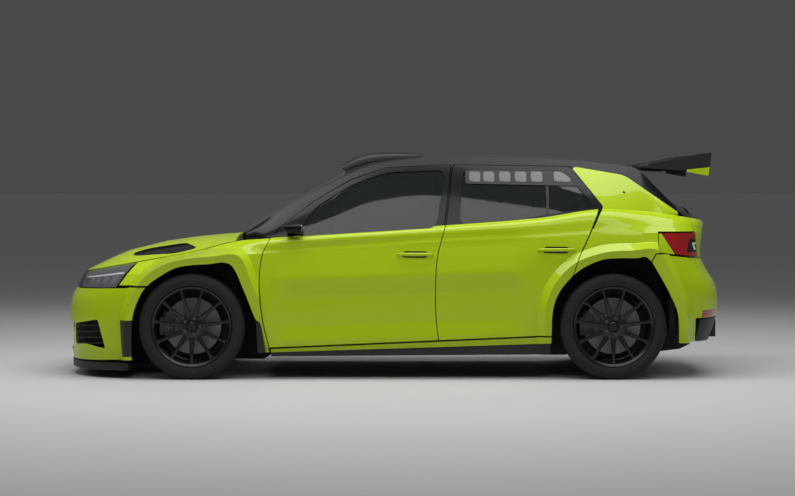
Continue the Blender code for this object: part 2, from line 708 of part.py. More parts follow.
def pillar_depth(x):
    """Pillars thin out where they run into the bonnet's and the tail's corners."""
    slim = min((x - at_x(.126)) / (.16 * WHEELBASE), (at_x(1.050) - x) / (.14 * WHEELBASE), 1)
    return PILLAR_ENDS + (PILLAR_DEPTH - PILLAR_ENDS) * max(slim, 0)


def rear_flare():
    return flare("flare", REAR_ARCH, REAR_CREASE, REAR_CENTRE, REAR_PROUD_SHARES)


def side_place(line, x):
    return skin(line, turn_at(x))


def tailgate_half(line):
    """Half the tailgate's width on the tail, as a turn."""
    return .44 + .13 * (line - 4)


def hatch(row, column):
    """Tailgate: row 0 at the roof to 1 at the belt line, then one body line per row further down."""
    if row > 1:
        line = 7 - row
        return skin(line, 3 + tailgate_half(line) * column)
    top = canopy(at_x(HATCH_TOP_SHARE), HATCH_WIDTH_SHARE * column)
    end = skin(6, 3 + tailgate_half(6) * column)
    x, y = top.x + (end.x - top.x) * row, top.y + (end.y - top.y) * row
    z = canopy(x, abs(y) / blended(RAIL_X, RAIL_Y, x)).z
    z += (end.z - canopy(end.x, abs(end.y) / blended(RAIL_X, RAIL_Y, end.x)).z) * row**3
    return Vector((x, y, z))


HATCH_COLUMNS = [-1, -.93, -.8, -.6, -.3, 0, .3, .6, .8, .93, 1]
HATCH_ROWS = [0, .33, .66, 1, 2, 3 - SHUT]


def build_side_frame():
    """Left body side: sill, door jambs, pillars, roof rail and rear quarter as one piece."""
    start = RAIL_SHARES[0][0]
    stations = [at_x(s) for s in (start, .20, .315, .404, .477, .58, .75, .90, .975, 1.0515, 1.0535, 1.101,
                                  1.130, 1.160)]
    frame = sheet("side_frame_left", cabin_place, [0, .5, 1, 2], stations, pillar_depth, "paint")

    jamb_stations = [at_x(s) for s in (.158, .36, .58, .80, .985)]
    jamb = sheet("jamb", side_place, [1, 3, 4, 5, 6], jamb_stations, JAMB_DEPTH, "paint", JAMB_INSET)
    for hole in (FRONT_HOLE_SHARES, REAR_HOLE_SHARES):
        combined(jamb, [prism("hole", outline_of(hole), -OUTER_Y, -at_y(.5))], "DIFFERENCE")
    tyre_room = grown(REAR_ARCH, REAR_CENTRE, ARCH_CUT_OUT)
    tyre_room = [(tyre_room[0][0], -CUT_OVERRUN)] + tyre_room + [(tyre_room[-1][0], -CUT_OVERRUN)]
    combined(jamb, [prism("room", tyre_room, -OUTER_Y, -at_y(.5))], "DIFFERENCE")

    door_outlines = (FRONT_FRAME_SHARES, REAR_FRAME_SHARES)
    for shares, glass in zip(door_outlines, (FRONT_GLASS_SHARES, REAR_GLASS_SHARES)):
        outer = outline_of(shares)
        middle = middle_of(outer)
        recess = sheet("recess", cabin_place, [-.12, .4, 1], stations[:-4],
                       RECESS_OUT + FRAME_DEPTH + GAP, "paint", -RECESS_OUT)
        recess = combined(recess, [prism("edge", grown(outer, middle, FRAME_GAP), -OUTER_Y, -at_y(.4))], "INTERSECT")
        window = prism("window", outline_of(glass), -OUTER_Y, -at_y(.4))
        combined(frame, [recess, window], "DIFFERENCE")
    combined(frame, [jamb], "UNION")

    def quarter_place(line, column):
        x = at_x(.92)
        for _ in range(4):
            x = edge_x(DOOR_REAR_SHARES, skin(line, turn_at(x)).z) + GAP
        finish = 3 - tailgate_half(max(line, 4)) - .012
        return skin(line, turn_at(x) + (finish - turn_at(x)) * column)

    quarter = sheet("quarter", quarter_place, [1, 2, 3, 4, 5, 6], [0, .25, .5, .7, .78, .86, .93, 1],
                    SKIN, "paint")
    behind = prism("behind", outline_of(BODY_SIDE_SHARES), -OUTER_Y, -at_y(.2))
    lamp = block("lamp", (at_x(LAMP_FRONT_SHARE - .002), -OUTER_Y, at_z(.4)), (at_x(1.4), -at_y(.2), at_z(.6525)))
    lip = combined(rear_flare(), [prism("door", outline_of(BODY_ARCH_SHARES), -OUTER_Y, -at_y(.6))], "DIFFERENCE")
    combined(quarter, [arch_cutter("arch", REAR_ARCH, REAR_CENTRE)], "DIFFERENCE")
    combined(quarter, [lip], "UNION")
    outer = outline_of(REAR_FRAME_SHARES)
    window = prism("window", grown(outer, middle_of(outer), FRAME_GAP), -OUTER_Y, -at_y(.4))
    combined(quarter, [behind, lamp, window], "DIFFERENCE")
    post = block("post", (POST_X[0], -POST_Y[1], POST_Z[0]), (POST_X[1], -POST_Y[0], POST_Z[1]))
    foot = block("foot", (POST_X[0] + SEAT_GAP, -PILLAR_FOOT_Y[1], PILLAR_FOOT_Z[0]),
                 (POST_X[1] - SEAT_GAP, -PILLAR_FOOT_Y[0], PILLAR_FOOT_Z[1]))
    corners = [(x, out) for out in (0, MIDDLE_POST) for x in MIDDLE_POST_X]
    corners[2:] = reversed(corners[2:])
    middle = loft("middle_post", [[(x, -at_y(y) - out, at_z(z)) for x, out in corners]
                                  for z, y in MIDDLE_POST_SHARES], "paint")
    rear = block("rear_post", (REAR_POST_X[0], -REAR_POST_Y[1], REAR_POST_Z[0]),
                 (REAR_POST_X[1], -REAR_POST_Y[0], REAR_POST_Z[1]))
    combined(quarter, [rear], "UNION")
    combined(frame, [post, foot, middle], "UNION")
    combined(frame, [quarter], "UNION")

    ends = (at_x(.187), at_x(.852))
    sections = []
    for x in spaced(ends[0], ends[1], 4):
        low, high = skin(0, turn_at(x)), skin(1, turn_at(x))
        top = high.z - GAP
        sections.append([(x, low.y, low.z), (x, high.y, top), (x, -ROCKER_OUT, top),
                         (x, -ROCKER_OUT, top + ROCKER_RISE), (x, -SILL_IN, top + ROCKER_RISE), (x, -SILL_IN, low.z)])
    combined(frame, [loft("sill", sections, "paint")], "UNION")
    room = sheet("room", lambda row, column: hatch(row, HATCH_ROOM_SHARE * column), [-.03] + HATCH_ROWS[1:],
                 HATCH_COLUMNS, RECESS_OUT + SKIN + GAP, "paint", -RECESS_OUT)
    combined(frame, [room], "DIFFERENCE")
    for hinge_x, hinge_y in DOOR_HINGES.values():
        for z in HINGE_Z:
            for low in (z + KNUCKLE + SEAT_GAP, z - KNUCKLE - SEAT_GAP - EAR_THICK):
                ear = block("ear", (hinge_x + EAR_START, hinge_y + EAR_TIP, low),
                            (hinge_x + EAR_END, hinge_y + EAR_ROOT, low + EAR_THICK), "paint")
                combined(frame, [ear], "UNION")
    mirrored(frame, "side_frame_right")


HATCH_ROOM_SHARE = 1.012
LAMP_FRONT_SHARE = 1.108
PILLAR_DEPTH = 0.072
PILLAR_ENDS = 0.018
JAMB_INSET = 0.056
JAMB_DEPTH = 0.030
RECESS_OUT = 0.030
FRAME_GAP = 0.009
SILL_IN = at_y(.7692)
PILLAR_FOOT_Y = (at_y(.7582), at_y(.8077))
PILLAR_FOOT_Z = (at_z(.5072), at_z(.6413))
MIDDLE_POST_X = (at_x(.5866), at_x(.6139))
MIDDLE_POST = 0.045
# Places of the post's inner face: (z share, y share).
MIDDLE_POST_SHARES = ((.1594, .8077), (.5072, .8077), (.6232, .7692), (.7029, .7385), (.7971, .6703))
REAR_POST_X = (at_x(.9715), at_x(.9863))
REAR_POST_Y = (at_y(.8132), at_y(.9319))
REAR_POST_Z = (at_z(.5507), at_z(.6522))
ROCKER_OUT = at_y(.8582)
ROCKER_RISE = 0.045
FRONT_HOLE_SHARES = ((.215, .190), (.205, .420), (.215, .600), (.225, .720), (.560, .760), (.545, .530),
                     (.545, .250), (.550, .190))
REAR_HOLE_SHARES = ((.615, .215), (.610, .350), (.615, .530), (.640, .720), (.930, .720), (.915, .640),
                    (.870, .530), (.835, .420), (.830, .215))


def build_doors():
    """Both left doors with their window glass, mirrored to the right."""
    rows = [1 + SHUT, 2, 3, 4, 5, 6]
    columns = [0, .2, .45, .7, .88, 1]
    doors = (
        ("front", DOOR_FRONT_SHARES, DOOR_SPLIT_SHARES, FRONT_FRAME_SHARES, FRONT_GLASS_SHARES, False),
        ("rear", DOOR_SPLIT_SHARES, DOOR_REAR_SHARES, REAR_FRAME_SHARES, REAR_GLASS_SHARES, True),
    )
    for which, front, rear, frame_shares, glass_shares, arch in doors:
        place = door_place(lambda z, e=front: edge_x(e, z) + GAP / 2, lambda z, e=rear: edge_x(e, z) - GAP / 2)
        door = sheet(f"door_{which}_left", place, rows, columns, DOOR_DEPTH, "paint")
        if arch:
            combined(door, [arch_cutter("arch", REAR_ARCH, REAR_CENTRE)], "DIFFERENCE")
            keep = prism("keep", outline_of(DOOR_ARCH_SHARES), -OUTER_Y, -at_y(.6))
            combined(door, [combined(rear_flare(), [keep], "INTERSECT")], "UNION")
        outer, glass = outline_of(frame_shares), outline_of(glass_shares)
        middle = middle_of(glass)
        low, high = min(p[0] for p in outer), max(p[0] for p in outer)
        stations = spaced(low - GAP, high + GAP, 4)
        frame = sheet("frame", cabin_place, [-.06, .4, 1], stations, FRAME_DEPTH, "paint")
        combined(frame, [prism("edge", outer, -OUTER_Y, -at_y(.4))], "INTERSECT")
        combined(door, [frame], "UNION")
        combined(door, [prism("window", glass, -OUTER_Y, -at_y(.4))], "DIFFERENCE")
        pane = sheet(f"glass_{which}_left", cabin_place, [-.05, .4, 1],
                     stations, GLASS, "glass", PANE_INSET)
        combined(pane, [prism("edge", grown(glass, middle, -PANE_GAP), -OUTER_Y, -at_y(.4))], "INTERSECT")
        hinge_x, hinge_y = DOOR_HINGES[which]
        for z in HINGE_Z:
            pocket = block("pocket", (hinge_x - POCKET_AHEAD, hinge_y + POCKET_IN, z - POCKET_HALF),
                           (hinge_x + EAR_END + KNUCKLE_GAP, hinge_y + EAR_ROOT, z + POCKET_HALF), "paint")
            combined(door, [pocket], "DIFFERENCE")
            knuckle = block("knuckle", (hinge_x + EAR_START, hinge_y + POCKET_IN - FLARE_PROUD, z - KNUCKLE),
                            (hinge_x + EAR_END, hinge_y + KNUCKLE_REACH, z + KNUCKLE), "paint")
            combined(door, [knuckle], "UNION")
        mirrored(door, f"door_{which}_right")
        mirrored(pane, f"glass_{which}_right")


PANE_INSET = 0.006
PANE_GAP = 0.0009
HINGE_BACK = 0.032
DOOR_HINGES = {"front": (at_x(.160) + HINGE_BACK, -at_y(.9451)), "rear": (at_x(.578) + HINGE_BACK, -at_y(.9505))}
HINGE_Z = (at_z(.300), at_z(.480))
KNUCKLE = 0.012
KNUCKLE_REACH = 0.022
KNUCKLE_GAP = 0.006
POCKET_AHEAD = 0.050
POCKET_IN = 0.007
POCKET_HALF = 0.030
EAR_START = 0.008
EAR_END = 0.028
EAR_TIP = 0.012
EAR_ROOT = 0.074
EAR_THICK = 0.010


def build_top():
    """Windscreen, roof panel and its air scoop."""
    wide = DITCH_SHARE - DITCH_GAP_SHARE
    across = [-wide, -wide * .5, 0, wide * .5, wide]

    def place(x, share):
        return canopy(x, share)

    screen = [at_x(s) for s in (SCREEN_SHARES[0], .20, .30, .36, SCREEN_SHARES[1])]
    sheet("windscreen", place, screen, across, GLASS, "glass")
    roof = [at_x(s) for s in (ROOF_SHARES[0], .48, .56, .68, .86, .975, ROOF_SHARES[1])]
    panel = sheet("roof_panel", place, roof, across, ROOF_SKIN, "black_gloss")
    hinge_x, hinge_z = TAILGATE_HINGE
    outline = [(hinge_x + x * LUG_SIZE, hinge_z + z * LUG_SIZE) for x, z in HATCH_CHEEK_SHARES]
    for middle in (-TAILGATE_LUG_Y, TAILGATE_LUG_Y):
        for inner in (middle - LUG_WIDTH / 2 - SEAT_GAP - CHEEK, middle + LUG_WIDTH / 2 + SEAT_GAP):
            combined(panel, [prism("cheek", outline, inner, inner + CHEEK, "black_gloss")], "UNION")

    sections = []
    for x_share, y_share, lift, rise in SCOOP_SHARES:
        x, half = at_x(x_share), at_y(y_share)
        base = [canopy(x, half * s / blended(RAIL_X, RAIL_Y, x)).z + SEAT_GAP + lift * SCOOP_HEIGHT for s in (1, 0)]
        top = canopy(x, 0).z + rise * SCOOP_HEIGHT
        edge = base[0] + (top - base[0]) * SCOOP_EDGE
        sections.append([(x, -half, base[0]), (x, 0, base[1] + SEAT_GAP), (x, half, base[0]), (x, half, edge),
                         (x, half * SCOOP_EDGE, top - (top - edge) * SCOOP_SHOULDER), (x, 0, top),
                         (x, -half * SCOOP_EDGE, top - (top - edge) * SCOOP_SHOULDER), (x, -half, edge)])
    scoop = loft("roof_scoop", sections, "black_plastic")
    mouth = []
    for x_share, low, high in SCOOP_MOUTH_SHARES:
        x, half = at_x(x_share), at_y(SCOOP_MOUTH_HALF_SHARE)
        middle = canopy(x, 0).z
        mouth.append([(x, y, middle + z * SCOOP_HEIGHT) for y, z in ((-half, low), (half, low), (half, high),
                                                                     (-half, high))])
    combined(scoop, [loft("mouth", mouth, "black_plastic")], "DIFFERENCE")


# The scoop's sections: x and y shares, then base and top over the roof as shares of its height.
SCOOP_HEIGHT = 0.066
SCOOP_SHARES = ((.350, .176, .45, .88), (.3575, .181, .15, .93), (.381, .187, .10, 1), (.4155, .187, .06, .98),
                (.419, .187, 0, .97), (.448, .184, .01, .88), (.48, .179, 0, .73), (.515, .168, 0, .53),
                (.542, .159, 0, .30), (.553, .154, 0, .07))
SCOOP_EDGE = 0.78
SCOOP_SHOULDER = 0.35
# The scoop's mouth: x share, then floor and roof over the canopy as shares of its height.
SCOOP_MOUTH_SHARES = ((.340, .50, .78), (.366, .30, .82), (.440, .25, .62))
SCOOP_MOUTH_HALF_SHARE = 0.125


def build_tailgate():
    """Tailgate, its glass, and the wing it carries."""
    gate = sheet("tailgate", hatch, HATCH_ROWS, HATCH_COLUMNS, SKIN, "paint")
    hole = [(at_x(x), at_y(y)) for x, y in HATCH_GLASS_SHARES]
    hole += [(x, -y) for x, y in reversed(hole)]
    combined(gate, [loft("hole", [[(x, y, z) for x, y in hole] for z in (at_z(.60), at_z(1.1))], "glass")],
             "DIFFERENCE")
    pane = sheet("tailgate_glass", hatch, [.01, .33, .66, .99], HATCH_COLUMNS, GLASS, "glass", PANE_INSET)
    inner = [(x - math.copysign(PANE_GAP, x - at_x(1.13)), y - math.copysign(PANE_GAP, y)) for x, y in hole]
    combined(pane, [loft("edge", [[(x, y, z) for x, y in inner] for z in (at_z(.60), at_z(1.1))], "glass")],
             "INTERSECT")

    hinge_x, hinge_z = TAILGATE_HINGE
    for y in (-TAILGATE_LUG_Y, TAILGATE_LUG_Y):
        outline = [(hinge_x + x * LUG_SIZE, hinge_z + z * LUG_SIZE) for x, z in HATCH_LUG_SHARES]
        combined(gate, [prism("lug", outline, y - LUG_WIDTH / 2, y + LUG_WIDTH / 2, "paint")], "UNION")

    wing = loft("rear_wing", [[(at_x(x), y, at_z(z)) for x, z in WING_SHARES] for y in (-WING_HALF, WING_HALF)],
                "black_plastic")
    for side in (-1, 1):
        y = side * (WING_HALF - SEAT_GAP)
        plates = [prism("plate", outline_of(shares), y, y + side * WING_PLATE)
                  for shares in (WING_PLATE_SHARES, WING_FENCE_SHARES)]
        y = side * WING_STAY_Y
        foot = []
        for x in STAY_X:
            seat = max(met(gate, (x, y + edge, 2 * ROOF_HEIGHT), (0, 0, -1)).z
                       for edge in (-WING_PLATE / 2, WING_PLATE / 2))
            foot.append((x, seat + STAY_LIFT))
        stay = prism("stay", foot + outline_of(WING_STAY_SHARES), y - WING_PLATE / 2, y + WING_PLATE / 2)
        combined(wing, plates + [stay], "UNION")


# Plan view of half the tailgate's window: x share and y.
HATCH_GLASS_SHARES = ((1.082, -.5385), (1.160, -.5934), (1.196, -.5989))
HATCH_HINGE_BACK = 0.020
TAILGATE_HINGE = (at_x(HATCH_TOP_SHARE) + HATCH_HINGE_BACK, at_z(.937))
# Side views of a lug and of the cheeks beside it, from the hinge, in lug sizes.
LUG_SIZE = 0.036
HATCH_LUG_SHARES = ((-.389, -1), (.333, -1), (.667, -.444), (.667, -.278), (-.389, .056))
HATCH_CHEEK_SHARES = ((-2.056, .444), (-2.056, -1.111), (.167, -1.111), (.167, -.722), (-1, -.722), (-1, .444))
CHEEK = 0.010
TAILGATE_LUG_Y = at_y(.3297)
WING_SHARES = ((1.092, .945), (1.130, .963), (1.185, .982), (1.238, .999), (1.241, .991), (1.190, .970),
               (1.140, .951), (1.102, .938))
WING_PLATE_SHARES = ((1.083, .935), (1.168, .924), (1.243, .9385), (1.247, 1.003), (1.218, .998), (1.100, .956))
WING_FENCE_SHARES = ((1.187, .917), (1.239, .899), (1.242, .9405), (1.187, .930))
WING_STAY_SHARES = ((1.160, .958), (1.105, .942))
WING_HALF = at_y(.6154)
WING_PLATE = 0.010
WING_STAY_Y = at_y(.4176)
STAY_LIFT = 0.0005
STAY_X = (at_x(1.0604), at_x(1.0741))


def build_rear_end():
    """Rear bumper, diffuser and tail lights."""
    turns = [turn_at(at_x(1.04)), turn_at(at_x(1.08)), 2.0, 2.12, 2.25, 2.4, 2.55, 2.7, 2.85, 3]
    turns += [6 - t for t in reversed(turns[:-1])]
    rows = [0, 1, DIFFUSER_LINE + SHUT, 2, 3, 4 - SHUT]
    bumper = sheet("rear_bumper", skin, rows, turns, SKIN, "paint")
    cut = arch_cutter("arch", REAR_ARCH, REAR_CENTRE)
    combined(bumper, [mirrored(cut, "arch_right"), cut], "DIFFERENCE")
    combined(bumper, [prism("keep", outline_of(BUMPER_SIDE_SHARES), -OUTER_Y, OUTER_Y)], "INTERSECT")
    lip = combined(rear_flare(), [prism("keep", outline_of(BUMPER_SIDE_SHARES), -OUTER_Y, -at_y(.6))], "INTERSECT")
    combined(bumper, [mirrored(lip, "lip_right"), lip], "UNION")
    low = skin(DIFFUSER_LINE, 3)
    under = block("under", (skin(1, DIFFUSER_TURN).x, -OUTER_Y, -CUT_OVERRUN), (low.x + CUT_OVERRUN, OUTER_Y, low.z))
    combined(bumper, [under], "DIFFERENCE")
    for y in BRACKET_Y:
        combined(bumper, [block("bracket", (REAR_PANEL_X[1] + SEAT_GAP, y - BRACKET_HALF, REAR_BRACKET_Z[0]),
                                (REAR_BUMPER_BACK_X, y + BRACKET_HALF, REAR_BRACKET_Z[1]))], "UNION")

    start, finish = DIFFUSER_TURN + .04, 6 - DIFFUSER_TURN - .04
    diffuser = sheet("rear_diffuser", skin, [0, .5, 1, DIFFUSER_LINE - SHUT], spaced(start, finish, 8), SKIN,
                     "black_plastic")
    combined(diffuser, [block("ahead", (at_x(1), -OUTER_Y, -CUT_OVERRUN),
                                         (skin(1, DIFFUSER_TURN).x + GAP, OUTER_Y, at_z(.5)))],
             "DIFFERENCE")
    for y in BRACKET_Y:
        combined(diffuser, [block("stay", (REAR_PANEL_X[1] + SEAT_GAP, y - BRACKET_HALF, DIFFUSER_STAY_Z[0]),
                                  (REAR_BUMPER_BACK_X - SKIN, y + BRACKET_HALF, DIFFUSER_STAY_Z[1]))], "UNION")

    def lamp_place(line, column):
        start = turn_of(line, at_x(LAMP_FRONT_SHARE - .003))
        return skin(line, start + (3 - tailgate_half(line) - .024 - start) * column)

    lamp = sheet("taillight_left", lamp_place, [4 + SHUT, 4.5, 5 - SHUT], spaced(0, 1, 5), LAMP_DEPTH, "lamp_red")
    ahead = block("ahead", (at_x(1), -OUTER_Y, at_z(.3)), (at_x(LAMP_FRONT_SHARE), -at_y(.4), at_z(.8)))
    combined(lamp, [ahead], "DIFFERENCE")
    combined(lamp, [block("bracket", (REAR_LAMP_X, -LAMP_BRACKET_REAR_Y[1], REAR_LAMP_Z[0]),
                          (REAR_LAMP_BACK_X, -LAMP_BRACKET_REAR_Y[0], REAR_LAMP_Z[1]))], "UNION")
    mirrored(lamp, "taillight_right")


DIFFUSER_LINE = 1.6
DIFFUSER_TURN = 2.30
DIFFUSER_STAY_Z = (at_z(.221), at_z(.2355))
REAR_PANEL_X = (at_x(1.1385), at_x(1.1385) + PANEL_THICK)
REAR_PANEL_Z = (at_z(.2174), at_z(.6087))
REAR_PANEL_HALF = at_y(.8242)
REAR_BUMPER_BACK_X = at_x(1.2691)
REAR_BRACKET_Z = (at_z(.319), at_z(.348))
LAMP_BRACKET_REAR_Y = (at_y(.7857), at_y(.8187))
REAR_LAMP_X = REAR_PANEL_X[1] + SEAT_GAP
REAR_LAMP_BACK_X = at_x(1.1872)
REAR_LAMP_Z = (at_z(.5725), at_z(.5978))


def build_structure():
    """Floor, bulkhead, legs, inner wings, wheelhouses, end panels and towers: what everything hangs on."""
    floor = block("floor_pan", (BULKHEAD_X[0], -FLOOR_HALF, FLOOR_Z[0]), (FLOOR_END_X, FLOOR_HALF, FLOOR_Z[1]))
    parts = [block("bulkhead", (BULKHEAD_X[0], -BULKHEAD_HALF, FLOOR_Z[0]),
                   (BULKHEAD_X[1], BULKHEAD_HALF, at_z(.52))),
             block("cowl", (BULKHEAD_X[0], -COWL_HALF, at_z(.50)), (BULKHEAD_X[1], COWL_HALF, at_z(.595))),
             block("front_panel", (PANEL_X[0], -PANEL_HALF, PANEL_Z[0]), (PANEL_X[1], PANEL_HALF, PANEL_Z[1])),
             block("rear_step", (FLOOR_END_X - SKIN, -REAR_FLOOR_HALF, FLOOR_Z[0]),
                   (FLOOR_END_X, REAR_FLOOR_HALF, REAR_FLOOR_Z[1])),
             block("rear_floor", (FLOOR_END_X - SKIN, -REAR_FLOOR_HALF, REAR_FLOOR_Z[0]),
                   (REAR_PANEL_X[1], REAR_FLOOR_HALF, REAR_FLOOR_Z[1])),
             block("rear_panel", (REAR_PANEL_X[0], -REAR_PANEL_HALF, REAR_PANEL_Z[0]),
                   (REAR_PANEL_X[1], REAR_PANEL_HALF, REAR_PANEL_Z[1]))]
    hinge_x, hinge_z = BONNET_HINGE
    bracket = [(hinge_x - BRACKET_TAB, hinge_z + BRACKET_TAB / 2), (hinge_x - BRACKET_TAB, hinge_z - BRACKET_LOW),
               (BULKHEAD_X[0] + SEAT_GAP, hinge_z - BRACKET_LOW), (BULKHEAD_X[0] + SEAT_GAP, hinge_z - BRACKET_HIGH),
               (hinge_x + BRACKET_TAB, hinge_z - BRACKET_HIGH), (hinge_x + BRACKET_TAB, hinge_z - BRACKET_TAB * .8),
               (hinge_x, hinge_z + BRACKET_TAB / 2)]
    for side in (-1, 1):
        def crosswise(low, high, x, z, side=side):
            a, b = sorted((side * low, side * high))
            return block("leg", (x[0], a, z[0]), (x[1], b, z[1]))

        parts.append(crosswise(LEG_Y[0], LEG_Y[1], (PANEL_X[0] + SEAT_GAP, BULKHEAD_X[1] - SEAT_GAP), LEG_Z))
        parts.append(crosswise(LEG_Y[0], TOWER_Y, TOWER_X, TOWER_Z))
        parts.append(crosswise(LEG_Y[0], LEG_Y[1], TOWER_X, (LEG_Z[0] + SEAT_GAP, TOWER_Z[1] - SEAT_GAP)))
        parts.append(prism("bracket", bracket, side * (BONNET_LUG_Y + LUG_WIDTH / 2 + SEAT_GAP),
                           side * (BONNET_LUG_Y + LUG_WIDTH * 1.5)))
        inner = outline_of(INNER_WING_SHARES)
        parts.append(prism("inner_wing", inner, side * (LEG_Y[1] - SEAT_GAP), side * (LEG_Y[1] + WALL)))
        house = outline_of(WHEELHOUSE_SHARES)
        parts.append(prism("wheelhouse", house, side * (REAR_FLOOR_HALF - WALL), side * (REAR_FLOOR_HALF + SEAT_GAP)))
    combined(floor, parts, "UNION")


WALL = 0.008
BRACKET_TAB = 0.012
BRACKET_HIGH = 0.018
BRACKET_LOW = 0.040
FLOOR_Z = (0.165, 0.190)
FLOOR_END_X = at_x(.850)
FLOOR_HALF = SILL_IN - SEAT_GAP
BULKHEAD_HALF = PILLAR_FOOT_Y[0] - SEAT_GAP
COWL_HALF = at_y(.6593)
REAR_FLOOR_HALF = at_y(.626)
REAR_FLOOR_Z = (at_z(.3768), at_z(.3768) + FLOOR_Z[1] - FLOOR_Z[0])
LEG_Y = (at_y(.4396), at_y(.5165))
LEG_Z = (at_z(.2319), at_z(.2899))
TOWER_Y = at_y(.7033)
TOWER_HALF = 0.070
TOWER_X = (FRONT_AXLE_X - TOWER_HALF, FRONT_AXLE_X + TOWER_HALF)
TOWER_THICK = 0.015
TOWER_Z = (at_z(.500), at_z(.500) + TOWER_THICK)
# Walls between the wheels and the engine bay, and between the rear wheels and the boot: (x share, z share).
INNER_WING_SHARES = ((-.183, .262), (.160, .262), (.160, .535), (.020, .530), (-.090, .495), (-.183, .430))
WHEELHOUSE_SHARES = ((.850, .300), (1.132, .300), (1.132, .560), (.850, .560))


def build_running_gear():
    """Engine, subframes with their arms, steering rack, knuckles and struts."""
    axle_x = FRONT_AXLE_X
    block("engine_block", (at_x(-.1287), -at_y(.3297), SUBFRAME_Z[1] + SEAT_GAP),
          (at_x(.0312), at_y(.2857), at_z(.5072)))

    subframe = block("front_subframe", (axle_x + SUBFRAME_X[0], -SUBFRAME_HALF, SUBFRAME_Z[0]),
                     (axle_x + SUBFRAME_X[1], SUBFRAME_HALF, SUBFRAME_Z[1]), "steel")
    for side in (-1, 1):
        ball = (axle_x, side * KINGPIN_Y, BALL_Z[0] + ARM_LIFT)
        arms = [tube("arm", [(axle_x + x, side * (SUBFRAME_HALF - ARM_ROOT), BALL_Z[0] + ARM_LIFT), ball], ARM_RADIUS,
                     ARM_SIDES, "steel") for x in ARM_X]
        boss = upright_tube("boss", (axle_x, side * KINGPIN_Y, BALL_Z[0]), BALL_RADIUS)
        low, high = sorted((side * LEG_Y[0], side * (LEG_Y[1] - MOUNT_SLIM)))
        mount = block("mount", (axle_x - MOUNT_HALF, low, SUBFRAME_Z[0] + MOUNT_SLIM / 2),
                      (axle_x + MOUNT_HALF, high, LEG_Z[0] - SEAT_GAP))
        x, y = axle_x + RACK_BACK, side * SADDLE_Y
        saddle = block("saddle", (x - RACK_RADIUS, y - SADDLE_HALF, SUBFRAME_Z[0] + MOUNT_SLIM / 2),
                       (x + RACK_RADIUS, y + SADDLE_HALF, RACK_Z - RACK_RADIUS - RACK_GAP))
        combined(subframe, arms + [boss, mount, saddle], "UNION")

    rack_x = axle_x + RACK_BACK
    rack = tube("steering_rack", [(rack_x, -RACK_HALF, RACK_Z), (rack_x, RACK_HALF, RACK_Z)], RACK_RADIUS,
                ROUND_SIDES, "steel")
    for side in (-1, 1):
        rod = tube("rod", [(rack_x, side * (RACK_HALF - RACK_RADIUS), RACK_Z),
                           (rack_x, side * (KINGPIN_Y + ARM_LIFT), RACK_Z)], ROD_RADIUS, ARM_SIDES, "steel")
        combined(rack, [rod], "UNION")

    knuckle = block("front_knuckle_left", (axle_x - UPRIGHT_HALF, -KNUCKLE_OUT_Y, BALL_Z[0] + BALL_RADIUS + BALL_GAP),
                    (axle_x + UPRIGHT_HALF, KNUCKLE_IN - KINGPIN_Y, BALL_Z[1] - BALL_RADIUS - BALL_GAP), "steel")
    low = RACK_Z + ROD_RADIUS + BALL_GAP
    arm = block("arm", (axle_x + RACK_RADIUS, -KINGPIN_Y - STEER_ARM, low),
                (rack_x + STEER_ARM, STEER_ARM - KINGPIN_Y, low + STEER_ARM))
    combined(knuckle, [arm, spindle(axle_x, -1)] + caliper(axle_x, -1, KNUCKLE_OUT_Y), "UNION")
    mirrored(knuckle, "front_knuckle_right")

    places = [(KINGPIN_Y, BALL_Z[1] + STRUT_FOOT)] + [(at_y(y), at_z(z)) for y, z in STRUT_SHARES]
    places.append((at_y(STRUT_SHARES[-1][0]), TOWER_Z[0] - SEAT_GAP))
    strut = tube("front_strut_left", [(axle_x, -y, z) for y, z in places], STRUT_RADIUS, ROUND_SIDES, "steel")
    combined(strut, [upright_tube("ball", (axle_x, -KINGPIN_Y, BALL_Z[1]), BALL_RADIUS)], "UNION")
    mirrored(strut, "front_strut_right")
    build_rear_axle()


def upright_tube(name, middle, radius):
    """A round boss as high as it is wide, standing on end."""
    x, y, z = middle
    return tube(name, [(x, y, z - radius), (x, y, z + radius)], radius, ROUND_SIDES, "steel")


def spindle(x, side):
    """The stub that a wheel's hub turns on."""
    middle = KNUCKLE_OUT_Y + SPINDLE_LENGTH / 2 - ARM_LIFT
    return disc("spindle", (x, side * middle, TYRE_RADIUS), SPINDLE_RADIUS, SPINDLE_LENGTH, SPINDLE_SIDES, "steel")


